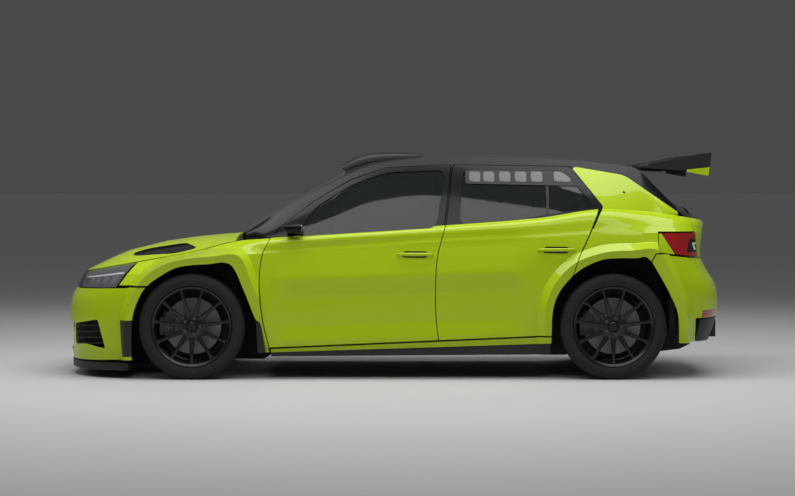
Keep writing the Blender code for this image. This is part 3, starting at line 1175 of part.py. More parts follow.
def build_rear_axle():
    """Rear subframe with its arms, uprights, struts and calipers."""
    rear_x = at_x(1)
    low, high = (at_z(share) for share in REAR_FRAME_Z_SHARES)
    axle = block("rear_axle", (rear_x - REAR_FRAME_X[0], -REAR_FRAME_HALF, low),
                 (rear_x + REAR_FRAME_X[1], REAR_FRAME_HALF, high), "steel")
    for side in (-1, 1):
        pieces = [tube("arm", [(rear_x + dx, side * at_y(.3956), at_z(.2029)),
                               (rear_x + dx * REAR_ARM_TAPER, side * KINGPIN_Y, at_z(.2174))], ARM_RADIUS, ARM_SIDES,
                       "steel") for dx in REAR_ARM_X]
        a, b = sorted((side * (KINGPIN_Y - KNUCKLE_IN), side * KNUCKLE_OUT_Y))
        pieces.append(block("upright", (rear_x - UPRIGHT_HALF, a, TYRE_RADIUS - UPRIGHT_DROP),
                            (rear_x + UPRIGHT_HALF, b, TYRE_RADIUS + UPRIGHT_DROP)))
        pieces.append(tube("strut", [(rear_x + STRUT_BACK, side * at_y(y), at_z(z)) for y, z in REAR_STRUT_SHARES],
                           STRUT_RADIUS, ARM_SIDES, "steel"))
        pieces.append(spindle(rear_x, side))
        pieces += caliper(rear_x, side, KNUCKLE_OUT_Y)
        a, b = sorted((side * at_y(.2747), side * at_y(.3297)))
        pieces.append(block("mount", (rear_x - MOUNT_HALF, a, high - SKIN), (rear_x + MOUNT_HALF, b,
                                                                             REAR_FLOOR_Z[0] - SEAT_GAP)))
        combined(axle, pieces, "UNION")


def caliper(axle_x, side, inner_y):
    """Brake caliper round the front edge of the disc, with a foot on the upright."""
    disc_in, disc_out = DISC_Y - DISC_THICKNESS / 2, DISC_Y + DISC_THICKNESS / 2
    front, over, slim = DISC_RADIUS + CALIPER_REACH, DISC_RADIUS + CALIPER_GAP, CALIPER_STEP

    def part(x, low, high, half):
        a, b = sorted((side * low, side * high))
        return block("caliper", (axle_x - x[0], a, TYRE_RADIUS - half), (axle_x - x[1], b, TYRE_RADIUS + half))

    return [part((front, CALIPER_IN), inner_y - CALIPER_WALL, disc_in - CALIPER_GAP, CALIPER_HALF),
            part((front, over), inner_y - CALIPER_WALL + slim * 5, disc_out + CALIPER_WALL - slim,
                 CALIPER_HALF - slim),
            part((front - slim / 2, CALIPER_IN + slim * 5), disc_out + CALIPER_GAP,
                 disc_out + CALIPER_WALL - slim * 1.5, CALIPER_HALF - slim * 2),
            part((CALIPER_FOOT, MOUNT_SLIM), inner_y - CALIPER_WALL + slim, inner_y - slim * 2, CALIPER_WALL)]


KINGPIN_IN = 0.188
KINGPIN_Y = WHEEL_FACE_Y - KINGPIN_IN
BALL_Z = (TYRE_RADIUS - .1375, TYRE_RADIUS + .1475)
BALL_RADIUS = 0.016
BALL_GAP = 0.0005
SUBFRAME_Z = (0.172, 0.215)
SUBFRAME_X = (-0.090, 0.150)
SUBFRAME_HALF = at_y(.4725)
ARM_RADIUS = 0.012
ARM_LIFT = 0.004
ARM_ROOT = 0.040
ARM_X = (-0.080, 0.130)
ARM_SIDES = 8
ROUND_SIDES = 10
MOUNT_HALF = 0.060
MOUNT_SLIM = 0.020
SADDLE_Y = at_y(.2747)
SADDLE_HALF = 0.030
RACK_BACK = 0.120
RACK_Z = 0.290
RACK_HALF = at_y(.5055)
RACK_RADIUS = 0.020
RACK_GAP = 0.0006
ROD_RADIUS = 0.009
STEER_ARM = 0.017
KNUCKLE_WIDE = 0.032
KNUCKLE_OUT_Y = KINGPIN_Y + KNUCKLE_WIDE
KNUCKLE_IN = 0.028
UPRIGHT_HALF = 0.035
UPRIGHT_DROP = 0.105
SPINDLE_RADIUS = 0.024
SPINDLE_LENGTH = 0.075
SPINDLE_SIDES = 14
SPINDLE_GAP = 0.0006
STRUT_RADIUS = 0.022
STRUT_FOOT = 0.012
STRUT_BACK = 0.020
# Places up the struts: (y share, z share).
STRUT_SHARES = ((.7198, .3659), (.6593, .4058))
REAR_STRUT_SHARES = ((.7582, .2899), (.7198, .3333), (.6813, .3841), (.6813, .4783))
REAR_FRAME_Z_SHARES = (.1884, .2391)
REAR_FRAME_X = (0.110, 0.090)
REAR_FRAME_HALF = at_y(.4396)
REAR_ARM_X = (-0.100, 0.080)
REAR_ARM_TAPER = 0.35
DISC_IN = 0.129
DISC_Y = WHEEL_FACE_Y - DISC_IN
CALIPER_REACH = 0.028
CALIPER_GAP = 0.006
CALIPER_WALL = 0.030
CALIPER_HALF = 0.056
CALIPER_STEP = 0.002
CALIPER_IN = 0.105
CALIPER_FOOT = 0.130


def build_wheels():
    """Rims with hub, spokes and brake disc in one, and a tyre on each."""
    for end, x in (("front", at_x(0)), ("rear", at_x(1))):
        rim = lathe("rim_" + end + "_left", x, RIM_PROFILE, WHEEL_SEGMENTS, "rim")
        hub = lathe("hub", x, HUB_PROFILE, HUB_SEGMENTS, "rim")
        star = []
        for i in range(SPOKE_COUNT):
            middle = FULL_TURN * (i + .5) / SPOKE_COUNT
            root = math.asin(SPOKE_ROOT / 2 / HUB_RADIUS)
            tip = math.asin(SPOKE_TIP / 2 / SPOKE_REACH)
            star += [(HUB_RADIUS, middle - root), (SPOKE_REACH, middle - tip), (SPOKE_REACH, middle + tip),
                     (HUB_RADIUS, middle + root)]
        spokes = loft("spokes", [[(x + r * math.cos(a), -WHEEL_FACE_Y + w, TYRE_RADIUS + r * math.sin(a))
                                  for r, a in star] for w in (SPOKE_IN, SPOKE_IN + SPOKE_DEPTH)], "rim")
        combined(rim, [spokes, hub], "UNION")
        tyre = lathe("tyre_" + end + "_left", x, TYRE_PROFILE, WHEEL_SEGMENTS, "rubber")
        mirrored(rim, "rim_" + end + "_right")
        mirrored(tyre, "tyre_" + end + "_right")


def lathe(name, x, profile, segments, finish):
    """A closed profile of (distance in from the wheel's face, radius) turned about the left wheel's axle."""
    sections = []
    for j in range(segments):
        angle = -math.pi / 2 + FULL_TURN * j / segments
        sections.append([(x + r * math.cos(angle), -WHEEL_FACE_Y + w, TYRE_RADIUS + r * math.sin(angle))
                         for w, r in profile])
    return loft(name, sections, finish, ring=True)


WHEEL_SEGMENTS = 24
HUB_SEGMENTS = 16
SPOKE_IN = 0.022
SPOKE_REACH = 0.224
RIM_HOOK = 0.013
SEAT_RADIUS = RIM_RADIUS - RIM_HOOK
RIM_PROFILE = ((.004, RIM_RADIUS), (.012, RIM_RADIUS), (.014, SEAT_RADIUS), (.214, SEAT_RADIUS),
               (.216, RIM_RADIUS), (.224, RIM_RADIUS), (.224, SEAT_RADIUS - RIM_WALL),
               (.030, SEAT_RADIUS - RIM_WALL), (.012, SEAT_RADIUS - .002), (.004, RIM_RADIUS - .006))
HUB_PROFILE = ((HUB_FACE_IN, .036), (HUB_FACE_IN, .074), (.115, .085), (.115, DISC_RADIUS),
               (.143, DISC_RADIUS), (.143, SPINDLE_RADIUS + SPINDLE_GAP), (.060, SPINDLE_RADIUS + SPINDLE_GAP))
TYRE_PROFILE = ((.0148, SEAT_RADIUS + .0006), (.0148, RIM_RADIUS + .001), (.003, .262), (0, .285),
                (.010, .312), (.030, TYRE_RADIUS), (.198, TYRE_RADIUS), (.218, .312), (.228, .285),
                (.225, .262), (.2132, RIM_RADIUS + .001), (.2132, SEAT_RADIUS + .0006))


def build_cabin():
    """Seats, dashboard, steering wheel and the welded roll cage."""
    seat_x = at_x(.3662)
    for name, y in (("seat_left", -SEAT_Y), ("seat_right", SEAT_Y)):
        seat = block(name, (seat_x, y - SEAT_HALF, FLOOR_Z[1] + SEAT_GAP), (seat_x + SEAT_LENGTH, y + SEAT_HALF,
                                                                           at_z(.2609)), "seat")
        back = prism("back", outline_of(SEAT_BACK_SHARES), y - SEAT_HALF + MOUNT_SLIM, y + SEAT_HALF - MOUNT_SLIM)
        combined(seat, [back], "UNION")

    front = BULKHEAD_X[1] + SEAT_GAP
    dash = prism("dashboard", [(front, at_z(.4493)), (at_x(.2804), at_z(.4783)), (at_x(.296), at_z(.5797)),
                               (front, at_z(.5797))], -DASH_HALF, DASH_HALF)
    centre = Vector((at_x(.3467), -SEAT_Y, at_z(.5797)))
    axis = Vector(STEERING_AXIS).normalized()
    side = Vector((0, 1, 0))
    up = side.cross(axis)
    sections = []
    for i in range(SPINDLE_SIDES):
        angle = FULL_TURN * i / SPINDLE_SIDES
        out = math.cos(angle) * side + math.sin(angle) * up
        turns = [FULL_TURN * j / 5 for j in range(5)]
        sections.append([centre + out * (STEERING_RADIUS + GRIP * math.cos(a)) + axis * GRIP * math.sin(a)
                         for a in turns])
    wheel = loft("steering_wheel", sections, "seat", ring=True)
    bar = tube("bar", [centre - side * (STEERING_RADIUS - GRIP / 3), centre + side * (STEERING_RADIUS - GRIP / 3)],
               SPOKE_BAR, 6, "seat")
    column = tube("column", [centre + axis * GRIP, centre - axis * STEERING_COLUMN], COLUMN_RADIUS, ARM_SIDES, "seat")
    combined(wheel, [bar, column], "UNION")
    boss = tube("boss", [centre - axis * (STEERING_COLUMN + SEAT_GAP), centre - axis * BOSS_END], BOSS_RADIUS, 12,
                "black_plastic")
    combined(dash, [boss], "UNION")

    cage = None
    for points in cage_tubes():
        bar = tube("roll_cage", points, CAGE_RADIUS, 6, "cage")
        cage = bar if cage is None else combined(cage, [bar], "UNION")
    cage.name = "roll_cage"


def cage_tubes():
    """Main hoop, front hoops, roof bars, door bars and rear stays."""
    floor, boot = FLOOR_Z[1] + SEAT_GAP, REAR_FLOOR_Z[1] + SEAT_GAP
    hoop = [(at_x(HOOP_SHARE), at_y(y), at_z(z)) for y, z in HOOP_SHARES]
    foot = [(hoop[0][0], hoop[0][1], floor)]
    tubes = [[(x, -y, z) for x, y, z in foot + hoop] + list(reversed(foot + hoop))]
    for side in (-1, 1):
        def placed(shares, side=side):
            return [(at_x(x), side * at_y(y), at_z(z)) for x, y, z in shares]

        front, stay = placed(FRONT_HOOP_SHARES), placed(REAR_STAY_SHARES)
        tubes.append([(*front[0][:2], floor)] + front)
        tubes.append(stay + [(*stay[-1][:2], boot)])
        tubes.append(placed(DOOR_BAR_SHARES))
    x, y, z = FRONT_HOOP_SHARES[1]
    tubes.append([(at_x(x), -at_y(y), at_z(z)), (at_x(x), at_y(y), at_z(z))])
    return tubes


SEAT_Y = at_y(.3956)
SEAT_HALF = 0.220
SEAT_LENGTH = 0.460
SEAT_BACK_SHARES = ((.5222, .2464), (.5612, .2464), (.608, .7681), (.569, .7826))
DASH_HALF = at_y(.6374)
STEERING_AXIS = (.92, 0, .39)
STEERING_RADIUS = 0.165
GRIP = 0.014
SPOKE_BAR = 0.012
COLUMN_RADIUS = 0.018
STEERING_COLUMN = 0.125
BOSS_END = 0.175
BOSS_RADIUS = 0.028
CAGE_RADIUS = 0.019
# The cage's bends: y and z shares of half the main hoop, then x, y and z shares of the other tubes.
HOOP_SHARE = 0.6392
HOOP_SHARES = ((.6813, .6159), (.5495, .8696), (.4615, .9203))
FRONT_HOOP_SHARES = ((.2414, .6813, .5942), (.3974, .5275, .8696), (.4832, .4945, .9058), (.6392, .4945, .913))
REAR_STAY_SHARES = ((.6392, .5055, .8986), (.8966, .4835, .5797), (.9356, .4615, .4493))
DOOR_BAR_SHARES = ((.2414, .6813, .2174), (.6392, .6813, .4493))


def build_mirror():
    """Left door mirror on the front corner of the door's window."""
    sections = [[(at_x(x), -at_y(y) - out, at_z(z)) for y, z in MIRROR_SHARES]
                for x, out in zip(MIRROR_X_SHARES, (0, MIRROR_FLARE))]
    shell = loft("mirror_left", sections, "black_gloss")
    door = bpy.data.objects["door_front_left"]
    (front, rear), (low, high) = MIRROR_FOOT_X, MIRROR_FOOT_Z
    corners = [(front, low), (rear, low), (rear, high), (front, high)]
    seat = [(x, met(door, (x, -OUTER_Y, z), (0, 1, 0)).y - STAY_LIFT, z) for x, z in corners]
    foot = loft("foot", [seat, [(x, -at_y(MIRROR_SHARES[0][0]) - GRIP, z) for x, z in corners]], "black_gloss")
    combined(shell, [foot], "UNION")
    mirrored(shell, "mirror_right")


MIRROR_FOOT_X = (at_x(.2258), at_x(.2398))
MIRROR_FOOT_Z = (at_z(.6471), at_z(.658))
MIRROR_X_SHARES = (.222, .262)
MIRROR_FLARE = 0.004
MIRROR_SHARES = ((.8791, .6558), (.9011, .6435), (.9945, .6449), (.9945, .6884), (.9121, .6899))

if __name__ == "__main__":
    build_bonnet()
    build_front_end()
    build_fender()
    build_side_frame()
    build_doors()
    build_top()
    build_tailgate()
    build_rear_end()
    build_structure()
    build_running_gear()
    build_wheels()
    build_cabin()
    build_mirror()
    for piece in list(bpy.data.objects):
        simplified(piece)
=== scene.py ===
"""Metres, +Z up. The nose points along -X, the left side is at -Y, and the ground is z = 0. The body's panels
follow the same short tables of shares as the model's source, at a finer step.
"""

from __future__ import annotations

import json
import logging
import math
from collections.abc import Callable, Iterable, Sequence
from dataclasses import dataclass, field
from enum import Enum

import bmesh
import bpy
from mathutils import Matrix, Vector

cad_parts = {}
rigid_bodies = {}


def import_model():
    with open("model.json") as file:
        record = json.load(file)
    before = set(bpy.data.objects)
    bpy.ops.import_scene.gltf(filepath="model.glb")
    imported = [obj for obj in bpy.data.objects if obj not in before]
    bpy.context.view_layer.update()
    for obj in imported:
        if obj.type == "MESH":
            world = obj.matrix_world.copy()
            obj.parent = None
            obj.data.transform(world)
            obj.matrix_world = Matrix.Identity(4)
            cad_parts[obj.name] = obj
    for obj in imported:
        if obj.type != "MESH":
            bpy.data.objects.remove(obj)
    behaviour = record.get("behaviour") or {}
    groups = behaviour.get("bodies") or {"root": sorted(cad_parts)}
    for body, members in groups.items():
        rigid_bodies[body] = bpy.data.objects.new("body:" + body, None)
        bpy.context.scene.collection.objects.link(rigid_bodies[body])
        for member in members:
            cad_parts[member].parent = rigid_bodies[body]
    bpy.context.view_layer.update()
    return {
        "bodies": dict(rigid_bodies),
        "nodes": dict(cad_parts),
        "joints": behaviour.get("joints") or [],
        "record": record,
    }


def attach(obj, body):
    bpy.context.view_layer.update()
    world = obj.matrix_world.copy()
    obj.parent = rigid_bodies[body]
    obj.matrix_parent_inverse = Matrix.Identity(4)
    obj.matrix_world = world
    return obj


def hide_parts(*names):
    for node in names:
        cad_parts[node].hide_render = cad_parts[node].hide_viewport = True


LOG = logging.getLogger("rally_car")

Point = tuple[float, float]
Outline = Sequence[Point]
Triple = tuple[float, float, float]
Place = Callable[[float, float], Vector]
Piece = bpy.types.Object

# Driving dimensions
WHEELBASE = 2.564
FRONT_AXLE_X = -1.219
HALF_WIDTH = 0.910
ROOF_HEIGHT = 1.380
GAP = 0.0055
SEAT_GAP = 0.0003
CUT_OVERRUN = 0.05
OUTER_Y = HALF_WIDTH + CUT_OVERRUN
SKIN = 0.016
GLASS = 0.005
SHUT = 0.04
TYRE_RADIUS = 0.3225
WHEEL_FACE_Y = 0.888
FULL_TURN = 2 * math.pi
# The photograph's camera: its place and sensor, then its frame, focal length and horizon in pixels.
CAMERA_X, CAMERA_Z, CAMERA_OUT = .032, 1.15, 14.87
SENSOR_WIDTH = 36
FRAME_WIDTH, FRAME_HEIGHT = 795, 496
FOCAL_PIXELS, HORIZON = 2307, 190.5
# The planes on which outlines were read in it, as y: pillars, window divider and tail lights.
PILLAR_PLANE, DIVIDER_PLANE, LAMP_PLANE = -.62, -.66, -.64


def at_x(share: float) -> float:
    """Place along the car, from its share of the wheelbase behind the front axle."""
    return FRONT_AXLE_X + share * WHEELBASE


def at_y(share: float) -> float:
    """Distance from the car's middle, from its share of the half width."""
    return share * HALF_WIDTH


def at_z(share: float) -> float:
    """Height, from its share of the roof's height."""
    return share * ROOF_HEIGHT


# Lines of the body side and bonnet, from the sill up to the middle of the bonnet:
# 0 lower edge, 1 sill, 2 low waist, 3 flank, 4 upper flank, 5 shoulder, 6 belt, 7 crown, 8 centre.
# Each row: x share, then (y share, z share) of each line.
SIDE_SHARES = (
    (-0.090, ((.879, .091), (.901, .138), (.921, .239), (.925, .341), (.918, .409),
              (.879, .475), (.703, .530), (.374, .580), (0, .599))),
    (0.000, ((.879, .101), (.912, .145), (.932, .246), (.940, .348), (.936, .449),
             (.912, .518), (.720, .561), (.385, .607), (0, .622))),
    (0.105, ((.890, .112), (.918, .130), (.936, .239), (.947, .362), (.943, .478),
             (.932, .547), (.769, .610), (.396, .632), (0, .639))),
    (0.183, ((.901, .118), (.923, .137), (.942, .239), (.952, .362), (.943, .486),
             (.934, .558), (.870, .623), (.440, .641), (0, .649))),
    (0.592, ((.901, .142), (.923, .170), (.942, .268), (.954, .391), (.945, .522),
             (.936, .609), (.868, .678), (.440, .688), (0, .692))),
    (0.826, ((.901, .156), (.925, .189), (.945, .283), (.956, .406), (.951, .543),
             (.936, .628), (.863, .712), (.440, .717), (0, .721))),
    (0.967, ((.901, .164), (.929, .201), (.945, .290), (.958, .420), (.954, .558),
             (.934, .642), (.841, .750), (.440, .754), (0, .757))),
    (1.099, ((.879, .170), (.912, .210), (.934, .297), (.951, .435), (.940, .558),
             (.912, .647), (.769, .739), (.396, .746), (0, .750))),
)
# Where the same lines cross the middle of the nose and of the tail: (x share, z share).
NOSE_SHARES = ((-.316, .072), (-.322, .120), (-.325, .225), (-.322, .333), (-.307, .395),
               (-.299, .431), (-.287, .464), (-.195, .547), (-.141, .576))
TAIL_SHARES = ((1.255, .159), (1.267, .217), (1.27585, .304), (1.271, .402), (1.234, .529),
               (1.238, .652), (1.236, .699), (1.158, .739), (1.138, .746))
NOSE_ROUNDNESS = 0.77
TAIL_ROUNDNESS = 0.66

# The roof rail that parts the side glass from the windscreen and roof: x, z and y shares.
RAIL_SHARES = ((.126, .647, .786), (.219, .758, .742), (.315, .854, .698), (.404, .930, .665),
               (.477, .960, .651), (.551, .975, .644), (.682, .983, .637), (.865, .975, .629),
               (.975, .958, .621), (1.049, .940, .618), (1.073, .922, .626), (1.101, .868, .654),
               (1.124, .822, .676), (1.166, .748, .714), (1.209, .716, .725))
# The middle of windscreen, roof and rear glass: x and z shares.
CENTRE_SHARES = ((.092, .638), (.227, .783), (.350, .912), (.419, .962), (.554, .989), (.680, .999),
                 (.865, .990), (.975, .975), (1.049, .960), (1.068, .941), (1.099, .899),
                 (1.159, .819), (1.236, .714))

# Panel edges in side view: (x share, z share).
DOOR_FRONT_SHARES = ((.183, .100), (.183, .137), (.176, .191), (.167, .272), (.160, .420),
                     (.167, .548), (.185, .622), (.190, .660))
DOOR_SPLIT_SHARES = ((.588, .120), (.586, .165), (.580, .263), (.578, .351), (.582, .530),
                     (.601, .672), (.640, .960))
DOOR_REAR_SHARES = ((.860, .100), (.880, .380), (.903, .459), (.916, .529), (.947, .655), (.967, .747))
FRONT_ARCH_SHARES = ((-.143, .085), (-.1425, .185), (-.1385, .285), (-.122, .368), (-.104, .415),
                     (-.075, .455), (-.038, .492), (-.002, .505), (.037, .509), (.092, .509),
                     (.124, .395), (.150, .273), (.164, .240), (.172, .119))
REAR_ARCH_SHARES = ((.853, .159), (.855, .292), (.866, .369), (.889, .432), (.923, .488),
                    (.968, .527), (1.006, .536), (1.051, .536), (1.081, .536), (1.111, .453),
                    (1.137, .362), (1.153, .285), (1.158, .159))
FRONT_CREASE_SHARES = ((-.160, .085), (-.1597, .185), (-.1555, .285), (-.140, .368), (-.123, .423),
                       (-.097, .473), (-.057, .513), (-.003, .535), (.052, .544), (.113, .546),
                       (.144, .423), (.168, .309), (.177, .240), (.187, .119))
REAR_CREASE_SHARES = ((.837, .159), (.838, .300), (.848, .379), (.872, .453), (.905, .511),
                      (.945, .545), (.990, .565), (1.045, .570), (1.102, .572), (1.134, .474),
                      (1.156, .383), (1.172, .295), (1.177, .159))
FRONT_PROUD_SHARES = (.7, .9, 1, 1, 1, 1, 1, 1, 1, 1, .9, .6, .4, .25)
REAR_PROUD_SHARES = (.5, .8, 1, 1, 1, 1, 1, 1, 1, 1, 1, .8, .5)
FRONT_GLASS_SHARES = ((.245, .629), (.292, .760), (.378, .860), (.462, .914), (.603, .926), (.580, .668))
REAR_GLASS_SHARES = ((.645, .928), (.888, .922), (.958, .762), (.881, .735), (.779, .705), (.636, .686))
# Outer edges of the doors' window frames, above the belt.
FRONT_FRAME_SHARES = ((.190, .600), (.205, .668), (.292, .790), (.378, .882), (.462, .935),
                      (.616, .948), (.596, .640))
REAR_FRAME_SHARES = ((.622, .948), (.903, .940), (.978, .760), (.967, .730), (.950, .660), (.602, .640))

STATION_X = [at_x(row[0]) for row in SIDE_SHARES]
BODY_START, BODY_END = STATION_X[0], STATION_X[-1]
LINES = range(len(NOSE_SHARES))
SHARP_LINES = (0, 1, 5, 8)
LINE_Y = [[at_y(row[1][k][0]) for row in SIDE_SHARES] for k in LINES]
LINE_Z = [[at_z(row[1][k][1]) for row in SIDE_SHARES] for k in LINES]
RAIL_X = [at_x(s[0]) for s in RAIL_SHARES]
RAIL_Z = [at_z(s[1]) for s in RAIL_SHARES]
RAIL_Y = [at_y(s[2]) for s in RAIL_SHARES]
CENTRE_X = [at_x(s[0]) for s in CENTRE_SHARES]
CENTRE_Z = [at_z(s[1]) for s in CENTRE_SHARES]
CROWN_POWER = 2.2
SIDE_BULGE = 0.012
SEARCHES = 22
SETTLING_ROUNDS = 4
HATCH_TOP_SHARE = 1.0525
DITCH_SHARE = 0.89
HATCH_WIDTH_SHARE = 0.972


def blended(keys: Sequence[float], values: Sequence[float], key: float) -> float:
    """A smooth curve through values at keys, with the end slopes kept straight.

    Args:
        keys: Rising places of the values.
        values: One value for each key.
        key: The place to read.

    Returns:
        The curve's value at key.
    """
    last = len(keys) - 1
    i = 0
    while i < last - 1 and key > keys[i + 1]:
        i += 1
    span = keys[i + 1] - keys[i]
    slopes = []
    for j in (i, i + 1):
        before, after = max(j - 1, 0), min(j + 1, last)
        slopes.append((values[after] - values[before]) / (keys[after] - keys[before]))
    t = (key - keys[i]) / span
    if t <= 0 or t >= 1:
        end = 0 if t <= 0 else 1
        return values[i + end] + (t - end) * slopes[end] * span
    return ((2 * t**3 - 3 * t**2 + 1) * values[i] + (t**3 - 2 * t**2 + t) * span * slopes[0]
            + (3 * t**2 - 2 * t**3) * values[i + 1] + (t**3 - t**2) * span * slopes[1])


def line_place(k: int, turn: float) -> Triple:
    """A point of one body line.

    Args:
        k: The line, from 0 at the lower edge to 8 at the bonnet's middle.
        turn: 0 to 1 rounds the nose, 1 to 2 runs along the side, 2 to 3 rounds the tail.

    Returns:
        Its place, with the distance from the car's middle as y.
    """
    if 1 <= turn <= 2:
        x = BODY_START + (turn - 1) * (BODY_END - BODY_START)
        return x, blended(STATION_X, LINE_Y[k], x), blended(STATION_X, LINE_Z[k], x)
    nose = turn < 1
    end_share, roundness = (NOSE_SHARES[k], NOSE_ROUNDNESS) if nose else (TAIL_SHARES[k], TAIL_ROUNDNESS)
    station = 0 if nose else -1
    angle = (turn if nose else 3 - turn) * math.pi / 2
    ahead = max(math.cos(angle), 0) ** roundness
    x0, z0 = STATION_X[station], LINE_Z[k][station]
    x = x0 + (at_x(end_share[0]) - x0) * ahead
    return x, LINE_Y[k][station] * max(math.sin(angle), 0) ** roundness, z0 + (at_z(end_share[1]) - z0) * ahead


def skin(line: float, turn: float) -> Vector:
    """A point of the body's outer skin.

    Args:
        line: Body line, or a place between two.
        turn: 0 at the nose to 3 at the tail on the left side; below 0 or above 3 is the right side.

    Returns:
        The point.
    """
    right = turn < 0 or turn > 3
    turn = abs(turn) if turn < 3 else 6 - turn
    if turn > 3:
        turn, right = 6 - turn, not right
    low = min(int(line), len(LINES) - 2)
    t = line - low
    before, a, b, after = (Vector(line_place(min(max(low + j, 0), LINES[-1]), turn)) for j in (-1, 0, 1, 2))
    start = (b - a) if low in SHARP_LINES else (b - before) / 2
    end = (b - a) if low + 1 in SHARP_LINES else (after - a) / 2
    x, y, z = a if t == 0 else ((2 * t**3 - 3 * t**2 + 1) * a + (t**3 - 2 * t**2 + t) * start
                                + (3 * t**2 - 2 * t**3) * b + (t**3 - t**2) * end)
    return Vector((x, max(y, 0) if right else -max(y, 0), z))


def turn_at(x: float) -> float:
    """The skin's turn at a place along the straight side."""
    return 1 + (x - BODY_START) / (BODY_END - BODY_START)


def searched(low: float, high: float, too_low: Callable[[float], bool]) -> float:
    """Halves a range until it closes on the place where too_low turns false.

    Args:
        low: Lower end.
        high: Upper end.
        too_low: Whether the answer lies above a value.

    Returns:
        The value found.
    """
    for _ in range(SEARCHES):
        middle = (low + high) / 2
        low, high = (middle, high) if too_low(middle) else (low, middle)
    return low


def turn_of(line: float, x: float) -> float:
    """The turn at which a body line has a place along the car, on the left side, nose or tail.

    Args:
        line: Body line.
        x: Place along the car.

    Returns:
        The turn.
    """
    if BODY_START <= x <= BODY_END:
        return turn_at(x)
    return searched(*((0, 1) if x < BODY_START else (2, 3)), lambda turn: skin(line, turn).x < x)


def skin_at(x: float, z: float) -> Vector:
    """The left skin where it has this x and z."""
    line = searched(0, 6, lambda here: skin(here, turn_of(here, x)).z < z)
    return skin(line, turn_of(line, x))


def bonnet_at(x: float, y: float) -> Vector:
    """The bonnet's surface above a plan point on either side."""
    line = searched(5.2, 8, lambda here: -skin(here, turn_of(here, x)).y > abs(y))
    return Vector((x, y, skin(line, turn_of(line, x)).z))


def edge_x(shares: Outline, z: float) -> float:
    """Place along the car of a panel edge at height z."""
    return blended([at_z(s[1]) for s in shares], [at_x(s[0]) for s in shares], z)


def canopy(x: float, across: float) -> Vector:
    """A point of the windscreen, roof or rear glass.

    Args:
        x: Place along the car.
        across: -1 at the left rail to 1 at the right rail.

    Returns:
        The point.
    """
    rail_z, rail_y = blended(RAIL_X, RAIL_Z, x), blended(RAIL_X, RAIL_Y, x)
    middle_z = blended(CENTRE_X, CENTRE_Z, x)
    return Vector((x, rail_y * across, middle_z + (rail_z - middle_z) * abs(across) ** CROWN_POWER))


def roof_z(x: float, y: float) -> float:
    """Height of the windscreen, roof or rear glass over a plan point."""
    return canopy(x, abs(y) / blended(RAIL_X, RAIL_Y, x)).z


def cabin_place(row: float, x: float) -> Vector:
    """A point of the left cabin side.

    Args:
        row: 0 at the belt to 1 at the rail, then over the rail's top to the roof ditch at 2.
        x: Place along the car.

    Returns:
        The point.
    """
    if row > 1:
        reach = 1 - (DITCH_SHARE if x < at_x(HATCH_TOP_SHARE) else HATCH_WIDTH_SHARE)
        return canopy(x, reach * (row - 1) - 1)
    ahead = min(max((x - BODY_END) / (at_x(TAIL_SHARES[6][0]) - BODY_END), 0), 1)
    belt = skin(6, turn_at(x) if x <= BODY_END else 3 - math.acos(ahead ** (1 / TAIL_ROUNDNESS)) * 2 / math.pi)
    top_y, top_z = blended(RAIL_X, RAIL_Y, x), blended(RAIL_X, RAIL_Z, x)
    y = -belt.y + (top_y + belt.y) * row + SIDE_BULGE * 4 * row * (1 - row)
    return Vector((x, -y, belt.z + (top_z - belt.z) * row))


def tailgate_half(line: float) -> float:
    """Half the tailgate's width on the tail, as a turn."""
    return .44 + .13 * (line - 4)


def hatch(row: float, column: float) -> Vector:
    """A point of the tailgate.

    Args:
        row: 0 at the roof to 1 at the belt line, then one body line per row further down.
        column: -1 at its left edge to 1 at its right edge.

    Returns:
        The point.
    """
    if row > 1:
        return skin(7 - row, 3 + tailgate_half(7 - row) * column)
    top = canopy(at_x(HATCH_TOP_SHARE), HATCH_WIDTH_SHARE * column)
    end = skin(6, 3 + tailgate_half(6) * column)
    x, y = top.x + (end.x - top.x) * row, top.y + (end.y - top.y) * row
    return Vector((x, y, roof_z(x, y) + (end.z - roof_z(end.x, end.y)) * row**3))


def lamp_rear_turn(line: float) -> float:
    """Where a headlight ends on the fender's side."""
    return .78 + .055 * (line - 4)


def between(front: Outline, rear: Outline, trim: float) -> Place:
    """Grid place for a side panel between two edges.

    Args:
        front: Shares of its front edge.
        rear: Shares of its rear edge.
        trim: Gap kept from both edges.

    Returns:
        A place whose row is a body line and whose column runs from 0 at the front to 1 at the rear.
    """

    def place(line: float, column: float) -> Vector:
        """The skin at a body line, at a share of the panel's length.

        Args:
            line: Body line.
            column: The share, from the front edge.

        Returns:
            The point.
        """
        x = at_x(.5)
        for _ in range(SETTLING_ROUNDS):
            z = skin(line, turn_at(x)).z
            start, end = edge_x(front, z) + trim, edge_x(rear, z) - trim
            x = start + (end - start) * column
        return skin(line, turn_at(x))

    return place


def outline_of(shares: Outline) -> list[Point]:
    """Side-view points in metres from share pairs."""
    return [(at_x(a), at_z(b)) for a, b in shares]


def pixels(points: Outline, y: float) -> list[Point]:
    """An outline read in the photograph's frame, as (x, z) on the plane at y."""
    scale = (CAMERA_OUT + y) / FOCAL_PIXELS
    return [(CAMERA_X + (px - FRAME_WIDTH / 2) * scale, CAMERA_Z - (py - HORIZON) * scale) for px, py in points]


def spaced(start: float, end: float, count: int) -> list[float]:
    """Even steps from start to end, one more than count."""
    return [start + (end - start) * i / count for i in range(count + 1)]


def fine(values: Sequence[float], per: int) -> list[float]:
    """Each gap between values cut into per steps."""
    return [a + (b - a) * i / per for a, b in zip(values, values[1:]) for i in range(per)] + [values[-1]]


def eased(points: Sequence[Sequence[float]], per: int) -> list[tuple[float, ...]]:
    """A smooth open curve through points, with per steps between each two."""
    keys = list(range(len(points)))
    return [tuple(blended(keys, column, key) for column in zip(*points)) for key in fine(keys, per)]


